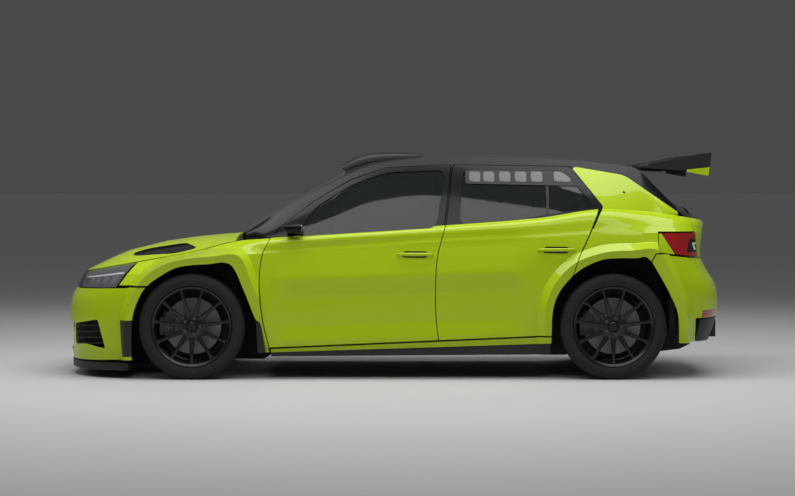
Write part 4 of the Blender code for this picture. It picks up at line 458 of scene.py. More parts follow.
def middle_of(outline: Outline) -> Point:
    """The mean of an outline's points."""
    return sum(p[0] for p in outline) / len(outline), sum(p[1] for p in outline) / len(outline)


def grown(outline: Outline, by: float, centre: Point | None = None) -> list[Point]:
    """An outline moved outwards by a distance, away from a centre or else from its own middle."""
    middle = Vector(centre or middle_of(outline))
    return [tuple(middle + (Vector(p) - middle).normalized() * ((Vector(p) - middle).length + by)) for p in outline]


# ---- Modelling with bmesh

WELD = 1e-5
NUDGE = 1e-3
SQUARE_ENOUGH = 0.02
POLE_STEP = 0.05
CORNER_STEPS, EDGE_STEPS, TUBE_STEPS = 7, 3, 4
# Panels face away from this point in the car. Distance along the car counts least.
CORE, CORE_WEIGHTS = Vector((0, 0, at_z(.35))), Vector((.15, 1, 1))


class View(Enum):
    """The direction in which an outline is drawn out into a solid, with the axes that it is drawn on."""

    SIDE = (0, 2, 1)
    PLAN = (0, 1, 2)
    FRONT = (1, 2, 0)

    def point(self, a: float, b: float, out: float) -> Vector:
        """The point with two outline values, at a distance along the direction drawn out.

        Args:
            a: The first outline value.
            b: The second one.
            out: The distance.

        Returns:
            The point.
        """
        place = Vector((0, 0, 0))
        for axis, value in zip(self.value, (a, b, out)):
            place[axis] = value
        return place


def verts_in(result: dict[str, list]) -> list[bmesh.types.BMVert]:
    """The vertices among what a bmesh operator returns."""
    return [item for item in result["geom"] if isinstance(item, bmesh.types.BMVert)]


def linked(name: str, bm: bmesh.types.BMesh) -> Piece:
    """Puts a bmesh in the scene, its doubles merged and its normals outwards.

    Args:
        name: The object's name.
        bm: The bmesh, which is freed.

    Returns:
        The new object.
    """
    bmesh.ops.remove_doubles(bm, verts=bm.verts, dist=WELD)
    bmesh.ops.dissolve_degenerate(bm, edges=bm.edges, dist=WELD)
    bmesh.ops.recalc_face_normals(bm, faces=bm.faces)
    mesh = bpy.data.meshes.new(name)
    bm.to_mesh(mesh)
    bm.free()
    made = bpy.data.objects.new(name, mesh)
    bpy.context.scene.collection.objects.link(made)
    return made


def facing(place: Place, row: float, column: float, rows: Sequence[float], columns: Sequence[float]) -> Vector:
    """The direction that a curved surface faces at one of its grid points, from its slopes there.

    Args:
        place: The surface.
        row: The point's row.
        column: The point's column.
        rows: All rows, which bound the slope.
        columns: All columns, which bound the slope.

    Returns:
        A unit vector to one side of the surface.
    """
    across = place(min(row + NUDGE, rows[-1]), column) - place(max(row - NUDGE, rows[0]), column)
    along = place(row, min(column + NUDGE, columns[-1])) - place(row, max(column - NUDGE, columns[0]))
    normal = along.normalized().cross(across.normalized())
    if normal.length < SQUARE_ENOUGH:
        q, d = row - POLE_STEP, column + POLE_STEP
        normal = (place(q, d + NUDGE) - place(q, d)).cross(place(q + NUDGE, d) - place(q, d))
    return normal.normalized()


def sheet(name: str, place: Place, rows: Sequence[float], columns: Sequence[float], depth: float,
          inset: float = 0) -> Piece:
    """A closed panel: a grid laid on a surface, then extruded inwards.

    Args:
        name: The object's name.
        place: The surface, from row and column.
        rows: Rows of the grid.
        columns: Columns of the grid.
        depth: The panel's thickness.
        inset: How far its outer face lies behind the surface.

    Returns:
        The panel.
    """
    middle = place(rows[len(rows) // 2], columns[len(columns) // 2])
    outward = facing(place, rows[len(rows) // 2], columns[len(columns) // 2], rows, columns)
    sign = 1 if outward.dot((middle - CORE) * CORE_WEIGHTS) > 0 else -1
    bm = bmesh.new()
    bmesh.ops.create_grid(bm, x_segments=len(columns) - 1, y_segments=len(rows) - 1, size=.5)
    spot = bm.verts.layers.int.new("spot")
    outward_of = []
    for index, vert in enumerate(list(bm.verts)):
        row = rows[round((vert.co.y + .5) * (len(rows) - 1))]
        column = columns[round((vert.co.x + .5) * (len(columns) - 1))]
        outward_of.append(sign * facing(place, row, column, rows, columns))
        vert[spot] = index
        vert.co = place(row, column) - inset * outward_of[-1]
    for vert in verts_in(bmesh.ops.extrude_face_region(bm, geom=bm.faces[:])):
        vert.co -= depth * outward_of[vert[spot]]
    return linked(name, bm)


def loft(name: str, sections: Sequence[Sequence[Sequence[float]]]) -> Piece:
    """A closed solid: its first section is a face, extruded to each later one.

    Args:
        name: The object's name.
        sections: Loops of equal length.

    Returns:
        The solid.
    """
    bm = bmesh.new()
    cap = bm.faces.new([bm.verts.new(point) for point in sections[0]])
    for number, section in enumerate(sections[1:]):
        result = bmesh.ops.extrude_face_region(bm, geom=[cap])
        if number:
            bmesh.ops.delete(bm, geom=[cap], context="FACES_ONLY")
        cap = next(item for item in result["geom"] if isinstance(item, bmesh.types.BMFace))
        for vert, point in zip(cap.verts, section):
            vert.co = point
    return linked(name, bm)


def prism(outline: Outline, start: float, end: float, view: View = View.SIDE, radius: float = 0,
          name: str = "cutter") -> Piece:
    """A solid drawn out from an outline, whose corners may be rounded.

    Args:
        outline: Points on the two axes of the view.
        start: Where the solid starts, along the direction drawn out.
        end: Where it ends.
        view: The direction drawn out.
        radius: Length taken from each edge beside a corner.
        name: The object's name.

    Returns:
        The solid.
    """
    bm = bmesh.new()
    bm.faces.new([bm.verts.new(view.point(a, b, start)) for a, b in outline])
    if radius:
        bmesh.ops.bevel(bm, geom=bm.verts[:], offset=radius, offset_type="OFFSET", segments=CORNER_STEPS, profile=.5,
                        affect="VERTICES", clamp_overlap=True, material=-1)
    drawn = verts_in(bmesh.ops.extrude_face_region(bm, geom=bm.faces[:]))
    bmesh.ops.translate(bm, verts=drawn, vec=view.point(0, 0, end - start))
    return linked(name, bm)


def block(low: Sequence[float], high: Sequence[float], bevel: float = 0, name: str = "cutter") -> Piece:
    """A box between two corners, its edges rounded where a bevel is given.

    Args:
        low: Its lowest corner.
        high: Its highest corner.
        bevel: Width of the rounding.
        name: The object's name.

    Returns:
        The box.
    """
    bm = bmesh.new()
    bmesh.ops.create_cube(bm, size=1)
    low, high = Vector(low), Vector(high)
    bmesh.ops.scale(bm, verts=bm.verts, vec=high - low)
    bmesh.ops.translate(bm, verts=bm.verts, vec=(low + high) / 2)
    if bevel:
        bmesh.ops.bevel(bm, geom=bm.edges[:], offset=bevel, offset_type="OFFSET", segments=EDGE_STEPS, profile=.5,
                        affect="EDGES", material=-1)
    return linked(name, bm)


def tube(points: Sequence[Sequence[float]], radius: float, name: str = "tube", closed: bool = False) -> Piece:
    """A round bar along a path, made from a bevelled curve.

    Args:
        points: The path.
        radius: The bar's radius.
        name: The object's name.
        closed: Whether the path returns to its start.

    Returns:
        The bar, as a mesh.
    """
    curve = bpy.data.curves.new(name, "CURVE")
    curve.dimensions = "3D"
    curve.bevel_depth, curve.bevel_resolution, curve.use_fill_caps = radius, TUBE_STEPS, not closed
    spline = curve.splines.new("POLY")
    spline.points.add(len(points) - 1)
    spline.use_cyclic_u = closed
    for knot, point in zip(spline.points, points):
        knot.co = (*point, 1)
    guide = bpy.data.objects.new(name, curve)
    bpy.context.scene.collection.objects.link(guide)
    bpy.context.view_layer.update()
    bm = bmesh.new()
    mesh = bpy.data.meshes.new_from_object(guide.evaluated_get(bpy.context.evaluated_depsgraph_get()))
    bm.from_mesh(mesh)
    bpy.data.objects.remove(guide)
    return linked(name, bm)


def spun(profile: Outline, centre: Vector, axis: Vector, steps: int, name: str = "spun",
         closed: bool = True) -> Piece:
    """A profile spun a full turn about an axis.

    Args:
        profile: (distance along the axis, radius) pairs.
        centre: The point that distances count from.
        axis: The axis, a unit vector.
        steps: Steps of the turn.
        name: The object's name.
        closed: Whether the profile's last point joins its first.

    Returns:
        The turned solid.
    """
    out = axis.orthogonal().normalized()
    bm = bmesh.new()
    verts = [bm.verts.new(centre + axis * along + out * radius) for along, radius in profile]
    edges = [bm.edges.new(pair) for pair in zip(verts, verts[1:] + verts[:1] if closed else verts[1:])]
    bmesh.ops.spin(bm, geom=verts + edges, cent=centre, axis=axis, angle=FULL_TURN, steps=steps, use_merge=True)
    return linked(name, bm)


def repeated(piece: Piece, centre: Vector, axis: Vector, count: int) -> Piece:
    """Copies a piece evenly round an axis, within its own mesh.

    Args:
        piece: The first of the ring.
        centre: A point of the axis.
        axis: The axis.
        count: How many the ring has.

    Returns:
        The same object.
    """
    bm = bmesh.new()
    bm.from_mesh(piece.data)
    bmesh.ops.spin(bm, geom=bm.verts[:] + bm.edges[:] + bm.faces[:], cent=centre, axis=axis,
                   angle=FULL_TURN * (count - 1) / count, steps=count - 1, use_duplicate=True)
    bmesh.ops.recalc_face_normals(bm, faces=bm.faces)
    bm.to_mesh(piece.data)
    bm.free()
    return piece


def squared_up(mesh: bpy.types.Mesh) -> None:
    """Leaves clean triangles that face outwards, which is what a Boolean needs.

    Args:
        mesh: The mesh to clean.
    """
    bm = bmesh.new()
    bm.from_mesh(mesh)
    bmesh.ops.remove_doubles(bm, verts=bm.verts, dist=WELD)
    bmesh.ops.dissolve_degenerate(bm, edges=bm.edges, dist=WELD)
    bmesh.ops.triangulate(bm, faces=bm.faces)
    bmesh.ops.recalc_face_normals(bm, faces=bm.faces)
    if bm.calc_volume(signed=True) < 0:
        bmesh.ops.reverse_faces(bm, faces=bm.faces)
    bm.to_mesh(mesh)
    bm.free()


class Joining(Enum):
    """What a Boolean does with the second solid."""

    CUT = "DIFFERENCE"
    KEEP = "INTERSECT"
    MERGE = "UNION"


def combined(target: Piece, others: Iterable[Piece], joining: Joining) -> Piece:
    """Applies a Boolean with each of some other solids, which are used up.

    Args:
        target: The solid that stays.
        others: The solids used on it.
        joining: What they do to it.

    Returns:
        The target.
    """
    for other in others:
        squared_up(target.data)
        squared_up(other.data)
        step = target.modifiers.new(joining.name, "BOOLEAN")
        step.operation, step.solver, step.object = joining.value, "EXACT", other
        bpy.context.view_layer.update()
        graph = bpy.context.evaluated_depsgraph_get()
        mesh = bpy.data.meshes.new_from_object(target.evaluated_get(graph), depsgraph=graph)
        target.modifiers.clear()
        target.data = mesh
        bpy.data.objects.remove(other)
    return target


def cut(target: Piece, *others: Piece) -> Piece:
    """Takes the others out of target."""
    return combined(target, others, Joining.CUT)


def kept(target: Piece, *others: Piece) -> Piece:
    """Keeps what target shares with the others."""
    return combined(target, others, Joining.KEEP)


def joined(name: str, pieces: Sequence[Piece]) -> Piece:
    """Holds several solids in one mesh, without a Boolean.

    Args:
        name: The object's new name.
        pieces: The solids; the first one's object stays.

    Returns:
        The first object.
    """
    bm = bmesh.new()
    for piece in pieces:
        bm.from_mesh(piece.data)
    bm.to_mesh(pieces[0].data)
    bm.free()
    for piece in pieces[1:]:
        bpy.data.objects.remove(piece)
    pieces[0].name = name
    return pieces[0]


def mirrored(source: Piece, name: str = "cutter") -> Piece:
    """The right-hand copy of a left-hand solid.

    Args:
        source: The left-hand solid.
        name: The copy's name.

    Returns:
        The copy.
    """
    bm = bmesh.new()
    bm.from_mesh(source.data)
    bmesh.ops.scale(bm, verts=bm.verts, vec=(1, -1, 1))
    bmesh.ops.reverse_faces(bm, faces=bm.faces)
    mesh = bpy.data.meshes.new(name)
    bm.to_mesh(mesh)
    bm.free()
    made = bpy.data.objects.new(name, mesh)
    bpy.context.scene.collection.objects.link(made)
    return made


def webbed(piece: Piece, thickness: float) -> Piece:
    """Turns a thin sheet into a mesh of wires along its edges.

    Args:
        piece: The sheet.
        thickness: The wires' thickness.

    Returns:
        The same object.
    """
    bm = bmesh.new()
    bm.from_mesh(piece.data)
    bmesh.ops.wireframe(bm, faces=bm.faces[:], thickness=thickness, use_replace=True, use_even_offset=False)
    bm.to_mesh(piece.data)
    bm.free()
    return piece


def shaded(piece: Piece, degrees: float) -> None:
    """Smooth shading, with edges sharper than an angle left crisp.

    Args:
        piece: The piece.
        degrees: The angle.
    """
    bm = bmesh.new()
    bm.from_mesh(piece.data)
    bmesh.ops.remove_doubles(bm, verts=bm.verts, dist=WELD)
    for face in bm.faces:
        face.smooth = True
    for edge in bm.edges:
        edge.smooth = len(edge.link_faces) == 2 and edge.calc_face_angle(math.pi) < math.radians(degrees)
    bm.to_mesh(piece.data)
    bm.free()


# ---- Finishes


class Value:
    """A shader value, whose arithmetic adds Math nodes."""

    def __init__(self, tree: bpy.types.NodeTree, socket: bpy.types.NodeSocket) -> None:
        """Wraps a socket of a node tree."""
        self.tree, self.socket = tree, socket

    def _step(self, operation: str, first: float | Value, second: float | Value) -> Value:
        """Adds a Math node with two inputs."""
        return Nodes(self.tree).add("ShaderNodeMath", {"operation": operation}, {0: first, 1: second})

    def __add__(self, other: float | Value) -> Value:
        """This value plus another."""
        return self._step("ADD", self, other)

    def __mul__(self, other: float | Value) -> Value:
        """This value times another."""
        return self._step("MULTIPLY", self, other)

    __radd__ = __add__
    __rmul__ = __mul__


@dataclass(frozen=True)
class Nodes:
    """The nodes of one material or world."""

    tree: bpy.types.NodeTree

    def add(self, kind: str, settings: dict[str, object], inputs: dict[str | int, object],
            output: str | int = 0) -> Value:
        """Adds a node.

        Args:
            kind: Its type.
            settings: Its own settings, set first.
            inputs: Values or links of its sockets.
            output: The output to hand back.

        Returns:
            That output.
        """
        node = self.tree.nodes.new(kind)
        for name, setting in settings.items():
            setattr(node, name, setting)
        for name, given in inputs.items():
            if isinstance(given, Value):
                self.tree.links.new(given.socket, node.inputs[name])
            else:
                node.inputs[name].default_value = given
        return Value(self.tree, node.outputs[output])

    def mixed(self, share: Value, first: object, second: object) -> Value:
        """One colour turning into another; a Mix node's colours are its inputs 6 and 7 and its output 2."""
        return self.add("ShaderNodeMix", {"data_type": "RGBA"}, {0: share, 6: first, 7: second}, 2)


class Slot(Enum):
    """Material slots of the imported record."""

    LIME = "lime_paint"
    GLOSS = "black_gloss"
    PLASTIC = "black_plastic"
    GLASS = "glass"
    CLEAR = "lamp_clear"
    RED = "lamp_red"
    TYRE = "tyre"
    WHEEL = "wheel_black"
    STEEL = "steel_dark"
    FABRIC = "seat_fabric"
    CAGE = "cage_white"


# A broad noise mottles each finish with a fine one, whose grain also roughens the surface.
BROAD_SCALE, BROAD_DETAIL, FINE_DETAIL, BROAD_SHARE = 7.0, 4.0, 2.0, .6
GRAIN_DISTANCE = .002
# Road dust: its tone, the heights where it ends and where it is full, its waviness and its roughness.
DUST_TONE = (.16, .15, .13, 1)
DUST_TOP, DUST_FULL, DUST_WAVE, DUST_ROUGHNESS = .56, .14, .16, .5


@dataclass(frozen=True)
class Finish:
    """One finish: two tones that mottle into each other, its gloss, its fine grain and its road dust."""

    name: str
    slot: Slot
    colour: Triple
    second: Triple
    roughness: float = .4
    metallic: float = 0
    coat: float = 0
    coat_roughness: float = .05
    alpha: float = 1
    grain: float = 400
    bump: float = .05
    spread: float = .08
    glow: float = 0
    dust: float = 0
    specular: float = .5

    def material(self) -> bpy.types.Material:
        """The material, made on first use.

        Returns:
            The material.
        """
        key = "look_" + self.name
        if key in bpy.data.materials:
            return bpy.data.materials[key]
        made = bpy.data.materials.new(key)
        made.use_nodes = True
        tree = made.node_tree
        shader = tree.nodes["Principled BSDF"]
        nodes = Nodes(tree)
        place = nodes.add("ShaderNodeTexCoord", {}, {}, "Object")
        broad = nodes.add("ShaderNodeTexNoise", {}, {"Vector": place, "Scale": BROAD_SCALE, "Detail": BROAD_DETAIL})
        small = nodes.add("ShaderNodeTexNoise", {}, {"Vector": place, "Scale": self.grain, "Detail": FINE_DETAIL})
        colour = nodes.mixed(broad * BROAD_SHARE + small * (1 - BROAD_SHARE), (*self.colour, 1), (*self.second, 1))
        roughness = broad * self.spread + (self.roughness - self.spread / 2)
        if self.dust:
            height = nodes.add("ShaderNodeSeparateXYZ", {}, {0: place}, "Z")
            low = nodes.add("ShaderNodeMapRange", {"interpolation_type": "SMOOTHSTEP"},
                            {"Value": height + broad * DUST_WAVE, "From Min": DUST_TOP, "From Max": DUST_FULL,
                             "To Min": 0.0, "To Max": self.dust})
            colour = nodes.mixed(low, colour, DUST_TONE)
            roughness = roughness + low * DUST_ROUGHNESS
        tree.links.new(colour.socket, shader.inputs["Base Color"])
        tree.links.new(roughness.socket, shader.inputs["Roughness"])
        for socket, value in (("Metallic", self.metallic), ("Coat Weight", self.coat),
                              ("Coat Roughness", self.coat_roughness), ("Alpha", self.alpha),
                              ("Specular IOR Level", self.specular)):
            shader.inputs[socket].default_value = value
        if self.glow:
            shader.inputs["Emission Color"].default_value = (1, 1, 1, 1)
            shader.inputs["Emission Strength"].default_value = self.glow
        if self.bump:
            bump = nodes.add("ShaderNodeBump", {},
                             {"Strength": self.bump, "Distance": GRAIN_DISTANCE, "Height": small}, "Normal")
            tree.links.new(bump.socket, shader.inputs["Normal"])
        return made


LIME = Finish("lime", Slot.LIME, (.40, .555, .003), (.375, .525, .0025), .42, 0, .5, .03, grain=1400, bump=.006,
              spread=.03, specular=.15)
BLACK_GLOSS = Finish("black_gloss", Slot.GLOSS, (.003, .003, .004), (.006, .006, .007), .22, 0, .12, grain=900,
                     bump=.01, specular=.15)
BLACK_SATIN = Finish("black_satin", Slot.PLASTIC, (.007, .007, .008), (.012, .012, .013), .45, grain=700, bump=.08,
                     dust=.08, specular=.35)
BLACK_MATT = Finish("black_matt", Slot.PLASTIC, (.008, .008, .008), (.014, .014, .014), .8, grain=500, bump=.15)
WING_BLACK = Finish("wing_black", Slot.PLASTIC, (.013, .013, .014), (.020, .020, .021), .42, grain=800, bump=.04,
                    specular=.35)
GLASS_DARK = Finish("glass_dark", Slot.GLASS, (.012, .015, .016), (.016, .019, .020), .04, alpha=.60, grain=60,
                    bump=0)
LAMP_CLEAR = Finish("lamp_clear", Slot.CLEAR, (.30, .32, .34), (.34, .36, .38), .05, alpha=.14, grain=60, bump=0)
LAMP_DARK = Finish("lamp_dark", Slot.PLASTIC, (.010, .010, .011), (.018, .018, .020), .25, .2, grain=300, bump=.02)
LAMP_SILVER = Finish("lamp_silver", Slot.CLEAR, (.50, .51, .53), (.42, .43, .45), .18, 1, grain=300, bump=.01)
LAMP_WHITE = Finish("lamp_white", Slot.CLEAR, (.70, .72, .75), (.62, .64, .67), .25, glow=.06, grain=100, bump=0)
LAMP_RED = Finish("lamp_red", Slot.RED, (.40, .006, .008), (.30, .004, .006), .12, 0, .8, .03, alpha=.9, grain=120,
                  bump=.02)
RUBBER = Finish("rubber", Slot.TYRE, (.009, .009, .009), (.017, .0165, .016), .70, grain=260, bump=.25, spread=.1,
                specular=.3)
WHEEL_BLACK = Finish("wheel_black", Slot.WHEEL, (.006, .006, .007), (.011, .011, .012), .32, .2, .3, .12, grain=900,
                     bump=.03, specular=.4)
DISC_STEEL = Finish("disc_steel", Slot.STEEL, (.16, .16, .165), (.23, .23, .235), .42, .8, grain=220, bump=.08)
DARK_STEEL = Finish("dark_steel", Slot.STEEL, (.05, .05, .052), (.085, .085, .087), .5, .4, grain=160, bump=.12,
                    spread=.12)
UNDERBODY = Finish("underbody", Slot.STEEL, (.010, .010, .010), (.018, .018, .018), .85, grain=200, bump=.1)
SEAT_CLOTH = Finish("seat_cloth", Slot.FABRIC, (.012, .012, .013), (.022, .022, .024), .92, grain=1200, bump=.4)
HARNESS = Finish("harness", Slot.FABRIC, (.030, .030, .032), (.045, .045, .048), .8, grain=1600, bump=.4)
CAGE_WHITE = Finish("cage_white", Slot.CAGE, (.34, .35, .36), (.28, .29, .30), .42, .1, .2, .2, grain=300, bump=.03)
# The door jambs' near-black is painted shade: they show only through the shut lines between the panels.
JAMB_SHADE = Finish("jamb_shade", Slot.LIME, (.020, .021, .020), (.030, .031, .030), .6, grain=300, bump=.08)
WIRE_BLACK = Finish("wire_black", Slot.PLASTIC, (.012, .012, .012), (.018, .018, .018), .5, grain=900, bump=.1)
VENT_GREY = Finish("vent_grey", Slot.GLASS, (.10, .105, .11), (.13, .135, .14), .35, grain=300, bump=.02)


@dataclass
class SubAssembly:
    """Pieces that are built and dressed together."""

    pieces: list[Piece] = field(default_factory=list, init=False)

    def build(self) -> list[Piece]:
        """Builds and dresses every piece of it.

        Returns:
            The pieces.
        """
        self.assemble()
        return self.pieces

    def assemble(self) -> None:
        """Makes the pieces, in each kind's own way."""
        raise NotImplementedError

    def dress(self, piece: Piece, look: Finish, *nodes: str, body: str = "chassis", degrees: float = 24) -> None:
        """Gives a piece its finish and body, and hides the nodes that it stands for.

        Args:
            piece: The piece.
            look: Its finish.
            nodes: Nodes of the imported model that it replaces.
            body: The body that it moves with.
            degrees: Edges sharper than this stay crisp.
        """
        shaded(piece, degrees)
        piece.data.materials.clear()
        piece.data.materials.append(look.material())
        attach(piece, body)
        if nodes:
            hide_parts(*nodes)
        self.pieces.append(piece)

    def dress_pair(self, piece: Piece, look: Finish, *nodes: str, body: str = "chassis", degrees: float = 24) -> None:
        """Dresses a left-hand piece and its right-hand copy, whose names end in right for left.

        Args:
            piece: The left-hand piece.
            look: Its finish.
            nodes: Left-hand nodes that it replaces.
            body: The left-hand body.
            degrees: Edges sharper than this stay crisp.
        """
        other = mirrored(piece, piece.name.replace("left", "right"))
        self.dress(piece, look, *nodes, body=body, degrees=degrees)
        self.dress(other, look, *(n.replace("left", "right") for n in nodes), body=body.replace("left", "right"),
                   degrees=degrees)


# ---- Front of the body

CURVE = 5
FRONT_CENTRE = (at_x(0), at_z(.234))
REAR_CENTRE = (at_x(1), at_z(.234))
GRILLE_TURN = 0.34


@dataclass(frozen=True)
class Arch:
    """A wheel arch: its opening and the raised lip round it."""

    edge: Outline
    crease: Outline
    proud: Sequence[float]
    centre: Point
    lip_y: float = .910
    tuck: float = .015
    depth: float = .030
    foot: float = .045
    rise: float = .001
    buried: float = .010
    margin: float = .012

    def opening(self) -> Piece:
        """What the arch takes out of the body's panels, open downwards."""
        edge = grown(eased(outline_of(self.edge), CURVE), self.margin, self.centre)
        return prism([(edge[0][0], -CUT_OVERRUN), *edge, (edge[-1][0], -CUT_OVERRUN)], -OUTER_Y, -at_y(.6))

    def lip(self) -> Piece:
        """The raised lip, as a solid whose foot is buried in the panels.

        Returns:
            The left-hand lip.
        """
        edge, crease = eased(outline_of(self.edge), CURVE), eased(outline_of(self.crease), CURVE)
        shares = [p[0] for p in eased([(v,) for v in self.proud], CURVE)]
        sections = []
        for (ox, oz), (cx, cz), (fx, fz), share in zip(edge, crease, grown(crease, self.foot, self.centre), shares):
            foot, under = skin_at(fx, fz), -skin_at(cx, cz).y
            crease_y = under + (self.lip_y - under) * min(share, 1)
            edge_y = crease_y - self.tuck
            sections.append([(ox, self.depth - edge_y, oz), (ox, -edge_y, oz), (cx, -crease_y, cz),
                             (foot.x, foot.y - self.rise, foot.z), (foot.x, foot.y + self.buried, foot.z)])
        return loft("lip", sections)


FRONT_ARCH = Arch(FRONT_ARCH_SHARES, FRONT_CREASE_SHARES, FRONT_PROUD_SHARES, FRONT_CENTRE)
REAR_ARCH = Arch(REAR_ARCH_SHARES, REAR_CREASE_SHARES, REAR_PROUD_SHARES, REAR_CENTRE)


def lower_front(z_share: float) -> Piece:
    """Everything ahead of the front wheel and below a height, on the left."""
    return block((at_x(-.30), -OUTER_Y, -CUT_OVERRUN), (at_x(-.05), -at_y(.3), at_z(z_share)))


@dataclass
class Bonnet(SubAssembly):
    """The bonnet, its two louvred vents, and the scuttle behind it."""

    vent: Outline = ((-1.635, -.385), (-1.600, -.490), (-1.350, -.606), (-1.205, -.585), (-1.300, -.370),
                             (-1.520, -.340))
    corner: float = .04
    tray_inset: float = .020
    slats: int = 4
    slat_ends: Point = (-1.62, -1.20)
    slat_y: float = .405
    slat_step: float = .047
    slat_slant: float = .035
    slat_width: float = .024
    rim: float = .006
    scuttle_floor: float = .790

    def assemble(self) -> None:
        """The skin with its two openings, then the vents and the scuttle."""
        turns = [0, .28, .56, .82, 1, turn_at(at_x(.100))]
        self.turns = fine([-t for t in reversed(turns[1:])] + turns, 8)
        self.rows = fine([6.05, 7, 8], 12)
        bonnet = sheet("bonnet_skin", skin, self.rows, self.turns, SKIN)
        cut(bonnet, self.opening(1), self.opening(-1))
        self.dress(bonnet, LIME, "bonnet", body="bonnet")
        for side in (1, -1):
            self.build_vent(side)
        self.build_scuttle()

    def opening(self, side: int, by: float = 0) -> Piece:
        """A vent's opening, drawn up through the bonnet."""
        return prism([(x, side * y) for x, y in grown(self.vent, by)], .6, 1, View.PLAN, self.corner)

    def build_vent(self, side: int) -> None:
        """A vent's dark rim, its tray and the slats along it.

        Args:
            side: 1 for the left vent, -1 for the right.
        """
        name = "left" if side > 0 else "right"
        tray = kept(sheet("bonnet_vent_" + name, skin, self.rows, self.turns, .004, self.tray_inset),
                    self.opening(side, .004))
        self.dress(tray, BLACK_MATT, body="bonnet")
        rim = kept(sheet("bonnet_rim_" + name, skin, self.rows, self.turns, .022, -.0012), self.opening(side, -.0004))
        self.dress(cut(rim, self.opening(side, -self.rim)), BLACK_SATIN, body="bonnet")
        slats = []
        for i in range(self.slats):
            points = [bonnet_at(x, side * (-self.slat_y - self.slat_step * i - self.slat_slant * t))
                      for t, x in zip(spaced(0, 1, 12), spaced(*self.slat_ends, 12))]
            out = side * self.slat_width
            slat = loft("slat", [[(p.x, p.y, p.z - .004), (p.x, p.y - out, p.z - .014),
                                  (p.x, p.y - out, p.z - .018), (p.x, p.y, p.z - .008)] for p in points])
            slats.append(kept(slat, self.opening(side, -self.rim)))
        self.dress(joined("bonnet_slats_" + name, slats), BLACK_SATIN, body="bonnet")

    def build_scuttle(self) -> None:
        """The dark tray between the bonnet and the windscreen's foot."""
        start, end = at_x(.075), at_x(.1165)
        sections = []
        for y in spaced(-.60, .60, 24):
            top = roof_z(at_x(.117), y) - .004
            sections.append([(start, y, self.scuttle_floor - .012), (end, y, self.scuttle_floor - .012), (end, y, top),
                             (end - .004, y, top), (end - .006, y, self.scuttle_floor),
                             (start, y, self.scuttle_floor)])
        self.dress(loft("scuttle_tray", sections), BLACK_MATT)


